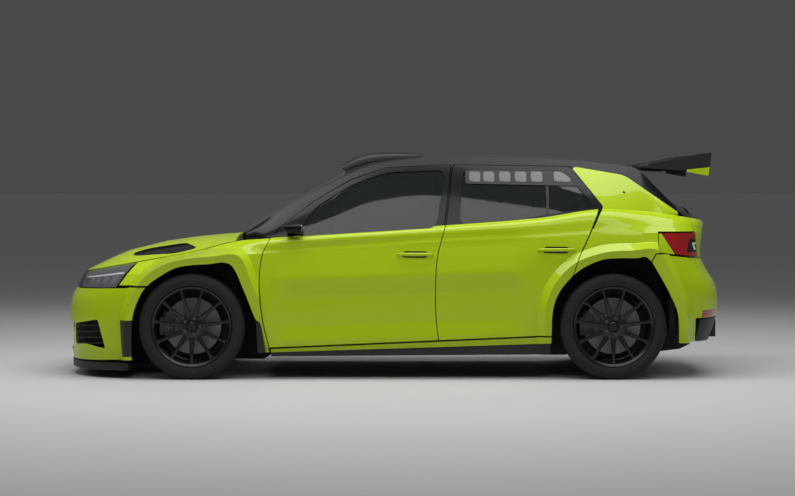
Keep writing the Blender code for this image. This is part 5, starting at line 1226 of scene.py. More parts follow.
@dataclass
class FrontEnd(SubAssembly):
    """Bumper with its intakes, grille, and the splitter under them."""

    side_intake: Outline = ((-.292, .238), (-.229, .262), (-.210, .131), (-.262, .150), (-.292, .142))
    lower_intake: Outline = ((-.50, .115), (.50, .115), (.58, .245), (-.58, .245))
    flap: Outline = ((-.1715, .262), (-.138, .262), (-.138, .10), (-.166, .10))
    tray_turn: float = .70
    wire: float = .0022
    vanes: int = 4
    vane_ends: Point = (-1.962, -1.755)
    vane_share: float = .148
    vane_step: float = .027
    vane_climb: float = .07
    splitter_turn: float = .86
    splitter_rear: float = at_x(-.155)
    splitter_lead: float = .006

    def assemble(self) -> None:
        """The bumper with its arch lips and openings, then all that fills or borders them."""
        turns = [0, .28, .56, .82, 1.0]
        self.turns = fine([-t for t in reversed(turns[1:])] + turns, 9)
        bumper = sheet("front_bumper_skin", skin, fine([0, 1, 2, 3, 4 - SHUT], 5), self.turns, SKIN)
        opening = FRONT_ARCH.opening()
        cut(bumper, mirrored(opening), opening)
        lip = kept(FRONT_ARCH.lip(), lower_front(.4055))
        flap = prism(outline_of(self.flap), -OUTER_Y, -at_y(.8))
        edging = kept(FRONT_ARCH.lip(), prism(grown(outline_of(self.flap), -.001), -OUTER_Y, -at_y(.8)))
        edging.name = "arch_edging_left"
        cut(lip, flap)
        combined(bumper, [mirrored(lip), lip], Joining.MERGE)
        side = prism(outline_of(self.side_intake), -OUTER_Y, -at_y(.55), radius=.016)
        middle = prism([(at_y(y), at_z(z)) for y, z in self.lower_intake], at_x(-.4), at_x(-.2), View.FRONT, .03)
        cut(bumper, mirrored(side), side, middle)
        self.dress(bumper, LIME, "front_bumper")
        self.dress_pair(edging, BLACK_SATIN)
        self.build_intakes()
        self.build_grille()
        self.build_splitter()

    def build_intakes(self) -> None:
        """Dark trays, wire mesh and vanes behind the bumper's openings."""
        tray = sheet("intake_tray", skin, fine([.2, 1, 2, 3], 4), spaced(-self.tray_turn, self.tray_turn, 50), .003,
                     .050)
        self.dress(tray, BLACK_MATT)
        wires = sheet("intake_mesh", skin, fine([.5, 2.3], 12), spaced(-.5, .5, 60), .001, .022)
        self.dress(webbed(wires, self.wire), WIRE_BLACK)
        vanes = []
        for i in range(self.vanes):
            line = [skin_at(x, at_z(self.vane_share + self.vane_step * i) + (x + 1.90) * self.vane_climb)
                    for x in spaced(*self.vane_ends, 10)]
            vanes.append(loft("vane", [[(p.x, p.y + .004, p.z), (p.x, p.y + .038, p.z + .004),
                                        (p.x, p.y + .038, p.z + .011), (p.x, p.y + .004, p.z + .006)] for p in line]))
        self.dress_pair(joined("intake_vanes_left", vanes), BLACK_SATIN)

    def build_grille(self) -> None:
        """The grille's frame and the mesh in its slot."""
        columns = spaced(-GRILLE_TURN, GRILLE_TURN, 44)
        grille = sheet("grille_frame", skin, fine([4 + SHUT, 5, 6 - SHUT], 5), columns, SKIN)
        hole = [(-.36, at_z(.412)), (.36, at_z(.412)), (.38, at_z(.452)), (-.38, at_z(.452))]
        cut(grille, prism(hole, -2.3, -1.6, View.FRONT, .012))
        self.dress(grille, BLACK_GLOSS, "grille")
        slats = sheet("grille_mesh", skin, fine([4.1, 5, 5.9], 5), columns, .001, .012)
        self.dress(webbed(slats, .003), WIRE_BLACK)

    def build_splitter(self) -> None:
        """The flat blade under the bumper."""
        edge = [skin(0, t) for t in spaced(-self.splitter_turn, self.splitter_turn, 60)]
        lead = [(p.x - self.splitter_lead, p.y) for p in edge]
        outline = [(self.splitter_rear, edge[0].y), *lead, (self.splitter_rear, edge[-1].y)]
        inner = grown(outline, -.004, (self.splitter_rear, 0))
        levels = ((.0483, inner), (.052, outline), (.092, outline), (.0959, inner))
        blade = loft("splitter_blade", [[(x, y, z) for x, y in loop] for z, loop in levels])
        self.dress(blade, BLACK_SATIN, "front_splitter")


@dataclass
class Headlight(SubAssembly):
    """The pair of headlights: lens, dark bowl, a light strip and projector cells."""

    start: float = GRILLE_TURN + .015
    lens: float = .002
    bowl_inset: float = .034
    cells: Sequence[float] = (.30, .48, .66, .84)
    cell_half: float = .062
    cell_lines: Point = (4.55, 5.16)

    def place(self, line: float, column: float) -> Vector:
        """The lens surface, column 0 at the grille to 1 at the fender."""
        return skin(line, self.start + (lamp_rear_turn(line) - self.start) * column)

    def assemble(self) -> None:
        """The lens, then the layers and cells behind it."""
        rows = fine([4 + SHUT, 5, 6 - SHUT], 5)
        self.dress_pair(sheet("headlight_lens_left", self.place, rows, spaced(0, 1, 26), self.lens), LAMP_CLEAR,
                        "headlight_left")
        layers = (
            ("headlight_bowl_left", (4 + SHUT, 6 - SHUT), (.004, .996), .004, self.bowl_inset, LAMP_DARK),
            ("headlight_brow_left", (5.42, 5.92), (.03, .97), .016, .006, LAMP_DARK),
            ("headlight_strip_left", (5.27, 5.37), (.08, .94), .006, .007, LAMP_WHITE),
            ("headlight_foot_left", (4.08, 4.36), (.03, .97), .016, .006, LAMP_DARK),
            ("headlight_rule_left", (4.40, 4.45), (.08, .90), .006, .007, LAMP_SILVER),
        )
        for name, (low, high), (first, last), depth, inset, look in layers:
            made = sheet(name, self.place, spaced(low, high, 8), spaced(first, last, 26), depth, inset)
            self.dress_pair(made, look)
        cells = [sheet("cell", self.place, spaced(*self.cell_lines, 5),
                       spaced(c - self.cell_half, c + self.cell_half, 6), .014, .014) for c in self.cells]
        self.dress_pair(joined("headlight_cells_left", cells), LAMP_SILVER)


@dataclass
class Fender(SubAssembly):
    """Front fenders with their arches, and the flap behind each wheel."""

    flap: Outline = ((-.828, .352), (-.800, .352), (-.772, .165), (-.818, .160))

    def place(self, line: float, column: float) -> Vector:
        """The fender's surface.

        Args:
            line: Body line.
            column: 0 at the headlight, 1 where the nose's curve ends, 2 at the door.

        Returns:
            The point.
        """
        if column <= 1:
            start = lamp_rear_turn(max(line, 4)) + .018
            return skin(line, start + (1 - start) * column)
        x = at_x(.17)
        for _ in range(SETTLING_ROUNDS):
            x = edge_x(DOOR_FRONT_SHARES, skin(line, turn_at(x)).z) - GAP / 2
        return skin(line, 1 + (turn_at(x) - 1) * (column - 1))

    def assemble(self) -> None:
        """The skin with its arch lip, and the flap."""
        fender = sheet("fender_skin_left", self.place, fine([1 + SHUT, 2, 3, 4, 5, 6 - SHUT], 6), fine([0, 1, 2], 20),
                       SKIN)
        door_side = [(edge_x(DOOR_FRONT_SHARES, z) - GAP / 2, z) for z in spaced(at_z(.08), at_z(.58), 24)]
        keep = [(at_x(-.30), at_z(.08)), *door_side, (at_x(-.30), at_z(.58))]
        lip = kept(FRONT_ARCH.lip(), prism(keep, -OUTER_Y, -at_y(.7)))
        cut(fender, FRONT_ARCH.opening(), lower_front(.4145))
        combined(fender, [cut(lip, lower_front(.4145))], Joining.MERGE)
        self.dress_pair(fender, LIME, "fender_left")
        flap = prism(self.flap, -.862, -.690, radius=.006, name="arch_flap_left")
        self.dress_pair(flap, BLACK_MATT)


# ---- Sides

DOOR_DEPTH = 0.036
FRAME_DEPTH = 0.020
PILLAR_INSET = 0.020
# Folds pressed into the doors: (height, depth) pairs, inwards negative. They climb towards the rear by a rise
# for each metre behind a place, and fade out between the two places at either end.
CREASES = ((.18, 0), (.235, .004), (.255, .005), (.340, -.013), (.355, -.014), (.50, -.019), (.53, -.018), (.635, .004),
           (.650, .004), (.80, -.008), (.825, -.008), (.90, 0), (.95, 0))
CREASE_LIFT, CREASE_RISE, CREASE_PLACE = .012, .03, -.26
CREASE_START, CREASE_END = (-.78, -.60), (.70, .88)


def creased(place: Place) -> Place:
    """A door's surface with the folds pressed into it, which fade out towards both wheels.

    Args:
        place: The smooth surface.

    Returns:
        The folded surface.
    """

    def folded(row: float, column: float) -> Vector:
        """The smooth point, moved across the car by the fold's depth at its height.

        Args:
            row: Row of the surface.
            column: Its column.

        Returns:
            The point.
        """
        point = place(row, column)
        z = point.z + CREASE_LIFT - CREASE_RISE * (point.x - CREASE_PLACE)
        low = max(i for i in range(len(CREASES) - 1) if CREASES[i][0] <= max(z, CREASES[0][0]))
        (z0, d0), (z1, d1) = CREASES[low], CREASES[low + 1]
        depth = d0 + (d1 - d0) * min(max((z - z0) / (z1 - z0), 0), 1)
        fade = min(max((point.x - CREASE_START[0]) / (CREASE_START[1] - CREASE_START[0]), 0), 1)
        fade *= min(max((CREASE_END[1] - point.x) / (CREASE_END[1] - CREASE_END[0]), 0), 1)
        return point - Vector((0, depth * fade * fade * (3 - 2 * fade), 0))

    return folded


class DoorEnd(Enum):
    """Which of the two doors on a side."""

    FRONT = "front"
    REAR = "rear"


@dataclass
class Door(SubAssembly):
    """A pair of doors: skin, window frame, glass, handle and the handle's cup."""

    which: DoorEnd = DoorEnd.FRONT
    front: Outline = DOOR_FRONT_SHARES
    rear: Outline = DOOR_SPLIT_SHARES
    frame: Outline = FRONT_FRAME_SHARES
    window: Outline = FRONT_GLASS_SHARES
    handle: Triple = (.030, .250, .762)
    bar_rise: float = .022
    bar_half: float = .0105
    window_corner: float = .045
    cup_depth: float = .016
    cup_corner: float = .022

    def assemble(self) -> None:
        """The skin, the window frame, the handle and the pane."""
        name, body = self.which.value, f"door_{self.which.value}_left"
        place = creased(between(self.front, self.rear, GAP / 2))
        door = sheet(f"door_{name}_skin_left", place, fine([1 + SHUT, 2, 3, 4, 5, 6], 12), spaced(0, 1, 40), DOOR_DEPTH)
        if self.which is DoorEnd.REAR:
            cut(door, REAR_ARCH.opening())
            combined(door, [kept(REAR_ARCH.lip(), prism(self.arch_part(), -OUTER_Y, -at_y(.6)))], Joining.MERGE)
        outer, glass = outline_of(self.frame), outline_of(self.window)
        stations = spaced(min(p[0] for p in outer) - GAP, max(p[0] for p in outer) + GAP, 30)
        frame = sheet(f"door_{name}_frame_left", cabin_place, spaced(-.06, 1, 16), stations, FRAME_DEPTH)
        kept(frame, prism(outer, -OUTER_Y, -at_y(.4), radius=.02))
        cut(frame, self.opening(glass))
        cut(door, self.opening(glass))
        self.build_handle(door, body)
        self.dress_pair(door, LIME, body, body=body)
        self.dress_pair(frame, BLACK_GLOSS, body=body)
        pane = sheet(f"pane_{name}_left", cabin_place, spaced(-.05, 1, 14), stations, GLASS, .006)
        kept(pane, self.opening(grown(glass, -.0009)))
        self.dress_pair(pane, GLASS_DARK, f"glass_{name}_left", body=body)

    def arch_part(self) -> list[Point]:
        """The side view of the rear arch's part that the door carries."""
        edge = [(edge_x(self.rear, z) - GAP / 2, z) for z in spaced(at_z(.40), at_z(.60), 16)]
        return outline_of(((.70, .1935), (.95, .1935), (.95, .40))) + edge + [(at_x(.70), at_z(.60))]

    def opening(self, outline: Outline) -> Piece:
        """A window's outline drawn out across the door."""
        return prism(outline, -OUTER_Y, -at_y(.4), radius=self.window_corner)

    def build_handle(self, door: Piece, body: str) -> None:
        """Cuts the handle's cup, covers its floor with a black sheet of painted shade, and sets a bar over it.

        Args:
            door: The door's skin.
            body: The body that the handle moves with.
        """
        start, end, z = self.handle
        middle = (start + end) / 2
        cup = [(middle - .085, z - .020), (middle + .075, z - .023), (middle + .080, z + .018),
               (middle - .075, z + .020)]
        face = skin_at(middle, z).y
        cut(door, prism(cup, face - CUT_OVERRUN, face + self.cup_depth, radius=self.cup_corner))
        # A black sheet on the cup's floor paints the shade in the recess.
        cup_shade = prism(grown(cup, -.0006), face + .0135, face + .0158, radius=self.cup_corner,
                       name=f"handle_cup_{self.which.value}_left")
        self.dress_pair(cup_shade, BLACK_MATT, body=body)
        sections = []
        for t in spaced(0, 1, 28):
            x = start + (end - start) * t
            lift = .003 + self.bar_rise * math.sin(math.pi * t) ** .35 if 0 < t < 1 else .003
            half = self.bar_half * (1 - abs(2 * t - 1) ** 5 * .45)
            y = skin_at(x, z).y
            sections.append([(x, y - lift + .006 * math.cos(a), z + half * math.sin(a))
                             for a in (FULL_TURN * j / 16 for j in range(16))])
        self.dress_pair(loft(f"handle_{self.which.value}_left", sections), LIME, body=body, degrees=40)


@dataclass
class SideFrame(SubAssembly):
    """Pillars and roof rail in black, rear pillar and quarter panel in lime, sill, skirt and jambs."""

    panel: Outline = ((572, 166), (623.6, 174.6), (677.9, 212.5), (696.2, 217.3), (708, 224), (708, 246),
                              (560, 262))
    panel_corner: float = .03
    pin: Point = (622.7, 192.6)
    behind: Outline = ((1.083, .05), (1.083, .502), (1.0978, .5575), (1.41, .5575), (1.41, .05))
    lamp_front: float = 1.108
    front_hole: Outline = ((.215, .190), (.205, .420), (.215, .600), (.225, .720), (.560, .760), (.545, .530),
                                   (.545, .250), (.550, .190))
    rear_hole: Outline = ((.615, .215), (.610, .350), (.615, .530), (.640, .720), (.930, .720), (.915, .640),
                                  (.870, .530), (.835, .420), (.830, .215))
    skirt_foot: float = .137
    skirt_climb: float = .012
    skirt_ends: Point = (-.8, 1)

    def assemble(self) -> None:
        """The pillars, black and lime, then the quarter, the sill and the jambs."""
        panel = pixels(self.panel, PILLAR_PLANE)
        black = cut(self.shell("pillar_rail_left"), prism(panel, -OUTER_Y, -at_y(.35), radius=self.panel_corner))
        green = kept(self.shell("rear_pillar_left"),
                     prism(grown(panel, -.003), -OUTER_Y, -at_y(.35), radius=self.panel_corner))
        self.dress_pair(black, BLACK_GLOSS)
        self.dress_pair(green, LIME)
        self.build_pin()
        self.build_quarter()
        self.build_sill()
        self.build_jambs()

    def window_room(self, shares: Outline, by: float = .006) -> Piece:
        """What a door's window frame needs free."""
        return prism(grown(outline_of(shares), by), -OUTER_Y, -at_y(.4), radius=.02)

    def shell(self, name: str) -> Piece:
        """The cabin side from the belt to the roof ditch, open where the doors are.

        Args:
            name: The piece's name.

        Returns:
            The shell.
        """
        shares = (.126, .20, .315, .404, .477, .58, .75, .90, .975, 1.05, 1.101, 1.160)
        made = sheet(name, cabin_place, fine([0, 1, 2], 10), fine([at_x(s) for s in shares], 6), PILLAR_INSET)
        return cut(made, self.window_room(FRONT_FRAME_SHARES), self.window_room(REAR_FRAME_SHARES))

    def build_pin(self) -> None:
        """The small round fastener on the rear pillar."""
        (x, z), = pixels((self.pin,), PILLAR_PLANE)
        row = searched(0, 1, lambda share: cabin_place(share, x).z < z)
        face = cabin_place(row, x).y
        pin = spun(((-.002, .0005), (-.002, .007), (0, .009), (.006, .009), (.006, .0005)), Vector((x, face, z)),
                   Vector((0, 1, 0)), 24, "pillar_pin_left", closed=False)
        self.dress_pair(pin, BLACK_SATIN)

    def quarter_place(self, line: float, column: float) -> Vector:
        """The quarter panel's surface.

        Args:
            line: Body line.
            column: 0 at the rear door to 1 at the tailgate.

        Returns:
            The point.
        """
        x = at_x(.92)
        for _ in range(SETTLING_ROUNDS):
            x = edge_x(DOOR_REAR_SHARES, skin(line, turn_at(x)).z) + GAP
        end = 3 - tailgate_half(max(line, 4)) - .012
        return skin(line, turn_at(x) + (end - turn_at(x)) * column)

    def build_quarter(self) -> None:
        """The quarter panel with the rear arch's lip."""
        quarter = sheet("quarter_skin_left", self.quarter_place, fine([1, 2, 3, 4, 5, 6], 6), spaced(0, 1, 60), SKIN)
        cut(quarter, REAR_ARCH.opening())
        edge = [(edge_x(DOOR_REAR_SHARES, z) + GAP / 2, z) for z in spaced(at_z(.40), at_z(.602), 16)]
        off = outline_of(((.70, .1865), (.95, .1865), (.95, .40))) + edge + [(at_x(.70), at_z(.602))]
        combined(quarter, [cut(REAR_ARCH.lip(), prism(off, -OUTER_Y, -at_y(.6)))], Joining.MERGE)
        lamp = block((at_x(self.lamp_front - .002), -OUTER_Y, at_z(.4)), (at_x(1.4), -at_y(.2), at_z(.6525)))
        cut(quarter, prism(outline_of(self.behind), -OUTER_Y, -at_y(.2)), lamp, self.window_room(REAR_FRAME_SHARES))
        self.dress_pair(quarter, LIME, "side_frame_left")

    def build_sill(self) -> None:
        """The lime sill and the black skirt under it."""
        sill, skirt = [], []
        start, end = self.skirt_ends
        for x in spaced(at_x(.187), at_x(.852), 60):
            low, high = skin(0, turn_at(x)), skin(1, turn_at(x))
            top = high.z - GAP
            sill.append([(x, low.y, low.z), (x, high.y, top), (x, -.781, top), (x, -.700, top), (x, -.700, low.z)])
            foot = self.skirt_foot + self.skirt_climb * (x - start) / (end - start)
            skirt.append([(x, low.y + .012, low.z - .001), (x, -.70, low.z - .001), (x, -.70, foot),
                          (x, low.y + .022, foot)])
        self.dress_pair(loft("sill_left", sill), LIME)
        self.dress_pair(loft("skirt_left", skirt), BLACK_SATIN)

    def build_jambs(self) -> None:
        """The frame that shows when the doors stand open, and the middle post."""
        jamb = sheet("jamb_left", lambda line, x: skin(line, turn_at(x)), [1, 3, 4, 5, 6],
                     [at_x(s) for s in (.158, .36, .58, .80, .985)], .006, .056)
        cut(jamb, prism(grown(eased(outline_of(REAR_ARCH_SHARES), 3), .012, REAR_CENTRE), -1, -.4))
        for hole in (self.front_hole, self.rear_hole):
            cut(jamb, prism(outline_of(hole), -1, -.4, radius=.05))
        # The jambs' near-black paints the shade in the shut lines.
        self.dress_pair(jamb, JAMB_SHADE)
        post = [[(x, -y - dy, z) for x, dy in ((.285, 0), (.355, 0), (.355, .03), (.285, .03))]
                for z, y in ((.220, .735), (.700, .735), (.860, .700), (.970, .672), (1.250, .560))]
        self.dress_pair(loft("middle_post_left", post), BLACK_SATIN)


@dataclass
class Mirror(SubAssembly):
    """Door mirrors: a rounded shell on a flat foot, with its glass."""

    front: float = -.650
    length: float = .100
    centre_y: float = .855
    centre_z: float = .920
    half_width: float = .050
    half_height: float = .031
    steps: int = 28

    def assemble(self) -> None:
        """The shell on its foot, and the glass at its rear."""
        sections = []
        for t in spaced(0, 1, 12):
            shrink = 1 - .35 * (1 - t) ** 2.2
            sections.append(self.ring(self.front + self.length * t, shrink))
        shell = loft("shell", sections)
        foot = loft("foot", [[(-.640, -y, .893), (-.604, -y, .893), (-.604, -y, .908), (-.640, -y, .908)]
                             for y in (.786, .83)])
        self.dress_pair(joined("mirror_shell_left", [shell, foot]), BLACK_GLOSS, "mirror_left", body="door_front_left",
                        degrees=40)
        rear = self.front + self.length
        face = loft("mirror_face_left", [self.ring(rear + .0005, .86), self.ring(rear + .002, .86)])
        self.dress_pair(face, LAMP_SILVER, body="door_front_left", degrees=40)

    def ring(self, x: float, shrink: float) -> list[Triple]:
        """The shell's outline at a place along the car.

        Args:
            x: The place.
            shrink: Its size there, against its full size.

        Returns:
            The points of the outline.
        """
        points = []
        for j in range(self.steps):
            cy, cz = math.cos(FULL_TURN * j / self.steps), math.sin(FULL_TURN * j / self.steps)
            points.append((x, -self.centre_y - self.half_width * shrink * math.copysign(abs(cy) ** .6, cy),
                           self.centre_z + self.half_height * shrink * math.copysign(abs(cz) ** .7, cz)))
        return points


@dataclass
class WindowVents(SubAssembly):
    """The louvre strip along the top of each rear side window."""

    strip: Outline = ((465, 168.5), (573, 168.5), (578, 186), (465, 183.5))
    squares: Outline = ((469, 480), (483, 494), (499, 510), (514.5, 526), (530.5, 542), (553.5, 570))
    divider: Point = (545.6, 548.0)

    def assemble(self) -> None:
        """The plate with its square holes, their panes, and the bar that parts the window."""
        plate = sheet("vent_strip_left", cabin_place, spaced(.4, 1, 12), spaced(.40, 1.20, 30), .003, .001)
        kept(plate, prism(pixels(self.strip, PILLAR_PLANE), -1, -.4, radius=.01))
        panes = []
        for low, high in self.squares:
            hole = pixels(((low, 171), (high, 171), (high, 182), (low, 181)), PILLAR_PLANE)
            cut(plate, prism(hole, -1, -.4, radius=.014))
            pane = sheet("pane", cabin_place, spaced(.4, 1, 8), spaced(.40, 1.20, 24), .001, .003)
            panes.append(kept(pane, prism(hole, -1, -.4, radius=.014)))
        self.dress_pair(plate, BLACK_SATIN, body="door_rear_left")
        self.dress_pair(joined("vent_panes_left", panes), VENT_GREY, body="door_rear_left")
        low, high = self.divider
        bar = sheet("window_divider_left", cabin_place, spaced(-.02, .9, 14), spaced(.90, 1.05, 8), .004, .0045)
        kept(bar, prism(pixels(((low, 180), (high, 180), (high, 222), (low, 222)), DIVIDER_PLANE), -1, -.4))
        self.dress_pair(bar, BLACK_SATIN, body="door_rear_left")


# ---- Roof and rear

ROOF_SKIN = 0.018


@dataclass
class Roof(SubAssembly):
    """Windscreen with its dark edge, roof panel and air scoop."""

    screen: Sequence[float] = (.117, .20, .30, .36, .414)
    panel: Sequence[float] = (.4165, .48, .56, .68, .86, .975, 1.047)
    wide: float = DITCH_SHARE - .001
    edge_band: float = .085
    scoop_height: float = .066
    scoop: Sequence[tuple[float, float, float, float]] = (
        (.350, .176, .45, .88), (.3575, .181, .15, .93), (.381, .187, .10, 1), (.4155, .187, .06, .98),
        (.448, .184, .01, .88), (.48, .179, 0, .73), (.515, .168, 0, .53), (.542, .159, 0, .30), (.553, .154, 0, .07))
    scoop_mouth: Sequence[Triple] = ((.340, .50, .78), (.366, .30, .82), (.440, .25, .62))
    mouth_half: float = at_y(.125)

    def assemble(self) -> None:
        """The windscreen with its dark edges, the roof and the scoop."""
        across = spaced(-self.wide, self.wide, 32)
        screen = fine([at_x(s) for s in self.screen], 6)
        self.dress(sheet("windscreen_glass", canopy, screen, across, GLASS), GLASS_DARK, "windscreen")
        band = sheet("screen_edge_left", canopy, screen, spaced(-self.wide, self.edge_band - self.wide, 4), .001,
                     GLASS + .0005)
        self.dress_pair(band, BLACK_MATT)
        top = sheet("screen_edge_top", canopy, spaced(at_x(.385), at_x(self.screen[-1]), 4),
                    spaced(-self.wide + self.edge_band, self.wide - self.edge_band, 24), .001, GLASS + .0005)
        self.dress(top, BLACK_MATT)
        roof = sheet("roof_skin", canopy, fine([at_x(s) for s in self.panel], 6), across, ROOF_SKIN)
        self.dress(roof, BLACK_GLOSS, "roof_panel")
        self.build_scoop()

    def build_scoop(self) -> None:
        """The air scoop over the windscreen's top edge, hollow at its mouth."""
        sections = []
        for share, half_share, low, high in eased(self.scoop, 5):
            x, half = at_x(share), at_y(half_share)
            top = roof_z(x, 0) + high * self.scoop_height
            base = [roof_z(x, y) + SEAT_GAP + low * self.scoop_height for y in (half * .8, 0, -half * .8)]
            crown = []
            for angle in spaced(math.pi, 0, 24):
                y = half * math.copysign(abs(math.cos(angle)) ** .8, math.cos(angle))
                floor = roof_z(x, y) + SEAT_GAP + low * self.scoop_height
                crown.append((x, y, floor + .001 + (top - floor) * max(math.sin(angle), 0) ** .42))
            sections.append(crown + [(x, y, z + SEAT_GAP) for y, z in zip((half * .8, 0, -half * .8), base)])
        scoop = loft("scoop_shell", sections)
        mouth = []
        for share, low, high in self.scoop_mouth:
            x, y, middle = at_x(share), self.mouth_half, roof_z(at_x(share), 0)
            mouth.append([(x, a, middle + z * self.scoop_height)
                          for a, z in ((-y, low), (y, low), (y, high), (-y, high))])
        cut(scoop, loft("mouth", mouth))
        self.dress(scoop, WING_BLACK, "roof_scoop", degrees=35)


@dataclass
class Tailgate(SubAssembly):
    """Tailgate with a black top, its window, and the wing on it."""

    window: Outline = ((1.082, -.5385), (1.160, -.5934), (1.196, -.5989))
    blade: Outline = ((1.092, .945), (1.130, .963), (1.185, .982), (1.238, .999), (1.241, .991),
                              (1.190, .970), (1.140, .951), (1.102, .938))
    plate: Outline = ((1.083, .935), (1.168, .924), (1.243, .9385), (1.247, 1.003), (1.218, .998),
                              (1.100, .956))
    fence: Outline = ((1.187, .917), (1.239, .899), (1.242, .9405), (1.187, .930))
    stay: Outline = ((1.160, .958), (1.105, .942))
    stay_foot: Sequence[float] = (1.0604, 1.0741)
    half: float = at_y(.6154)
    plate_depth: float = .010
    stay_y: float = at_y(.4176)

    def assemble(self) -> None:
        """The two skins round the window, its pane, the wing and the handle lip."""
        columns = fine([-1, -.8, -.5, 0, .5, .8, 1], 8)
        hole = [(at_x(x), at_y(y)) for x, y in self.window]
        hole += [(x, -y) for x, y in reversed(hole)]
        upper = cut(sheet("tailgate_top", hatch, spaced(0, 1, 16), columns, SKIN), self.opening(hole))
        lower = cut(sheet("tailgate_skin", hatch, fine([1.0001, 2, 3 - SHUT], 8), columns, SKIN), self.opening(hole))
        self.dress(upper, BLACK_GLOSS, body="tailgate")
        self.dress(lower, LIME, "tailgate", body="tailgate")
        pane = kept(sheet("tailgate_pane", hatch, spaced(.01, .99, 12), columns, GLASS, .006),
                    self.opening(grown(hole, -.0012)))
        self.dress(pane, GLASS_DARK, "tailgate_glass", body="tailgate")
        self.build_wing()
        self.build_lip()

    def opening(self, outline: Outline) -> Piece:
        """The window's plan outline drawn up through the tailgate."""
        return prism(outline, at_z(.60), at_z(1.1), View.PLAN, .03)

    def build_wing(self) -> None:
        """The wing's blade, end plates with their lime fences, and stays."""
        profile = [p[:2] for p in eased([*outline_of(self.blade), outline_of(self.blade)[0]], 1)][:-1]
        blade = loft("wing_blade", [[(x, y, z) for x, z in profile] for y in spaced(-self.half, self.half, 8)])
        self.dress(blade, WING_BLACK, "rear_wing", body="tailgate")
        near, far = -self.half + SEAT_GAP, -self.half - self.plate_depth + .0005
        self.dress_pair(prism(outline_of(self.plate), near, far, radius=.008, name="wing_plate_left"), WING_BLACK,
                        body="tailgate")
        middle = far + .004
        self.dress_pair(prism(outline_of(self.fence), middle, far, name="wing_fence_left"), LIME, body="tailgate")
        self.dress_pair(prism(outline_of(self.fence), near, middle + SEAT_GAP, name="wing_fence_back_left"), WING_BLACK,
                        body="tailgate")
        foot = [(at_x(x), roof_z(at_x(x), self.stay_y) + .0005) for x in self.stay_foot]
        stay = prism(foot + outline_of(self.stay), -self.stay_y - .005, -self.stay_y + .005, name="wing_stay_left")
        self.dress_pair(stay, BLACK_SATIN, body="tailgate")

    def build_lip(self) -> None:
        """The narrow handle lip across the tailgate's lower edge."""
        lip = sheet("tailgate_lip", skin, spaced(4.20, 4.34, 3), spaced(2.72, 3.28, 24), .010, -.002)
        self.dress(lip, BLACK_SATIN, body="tailgate")


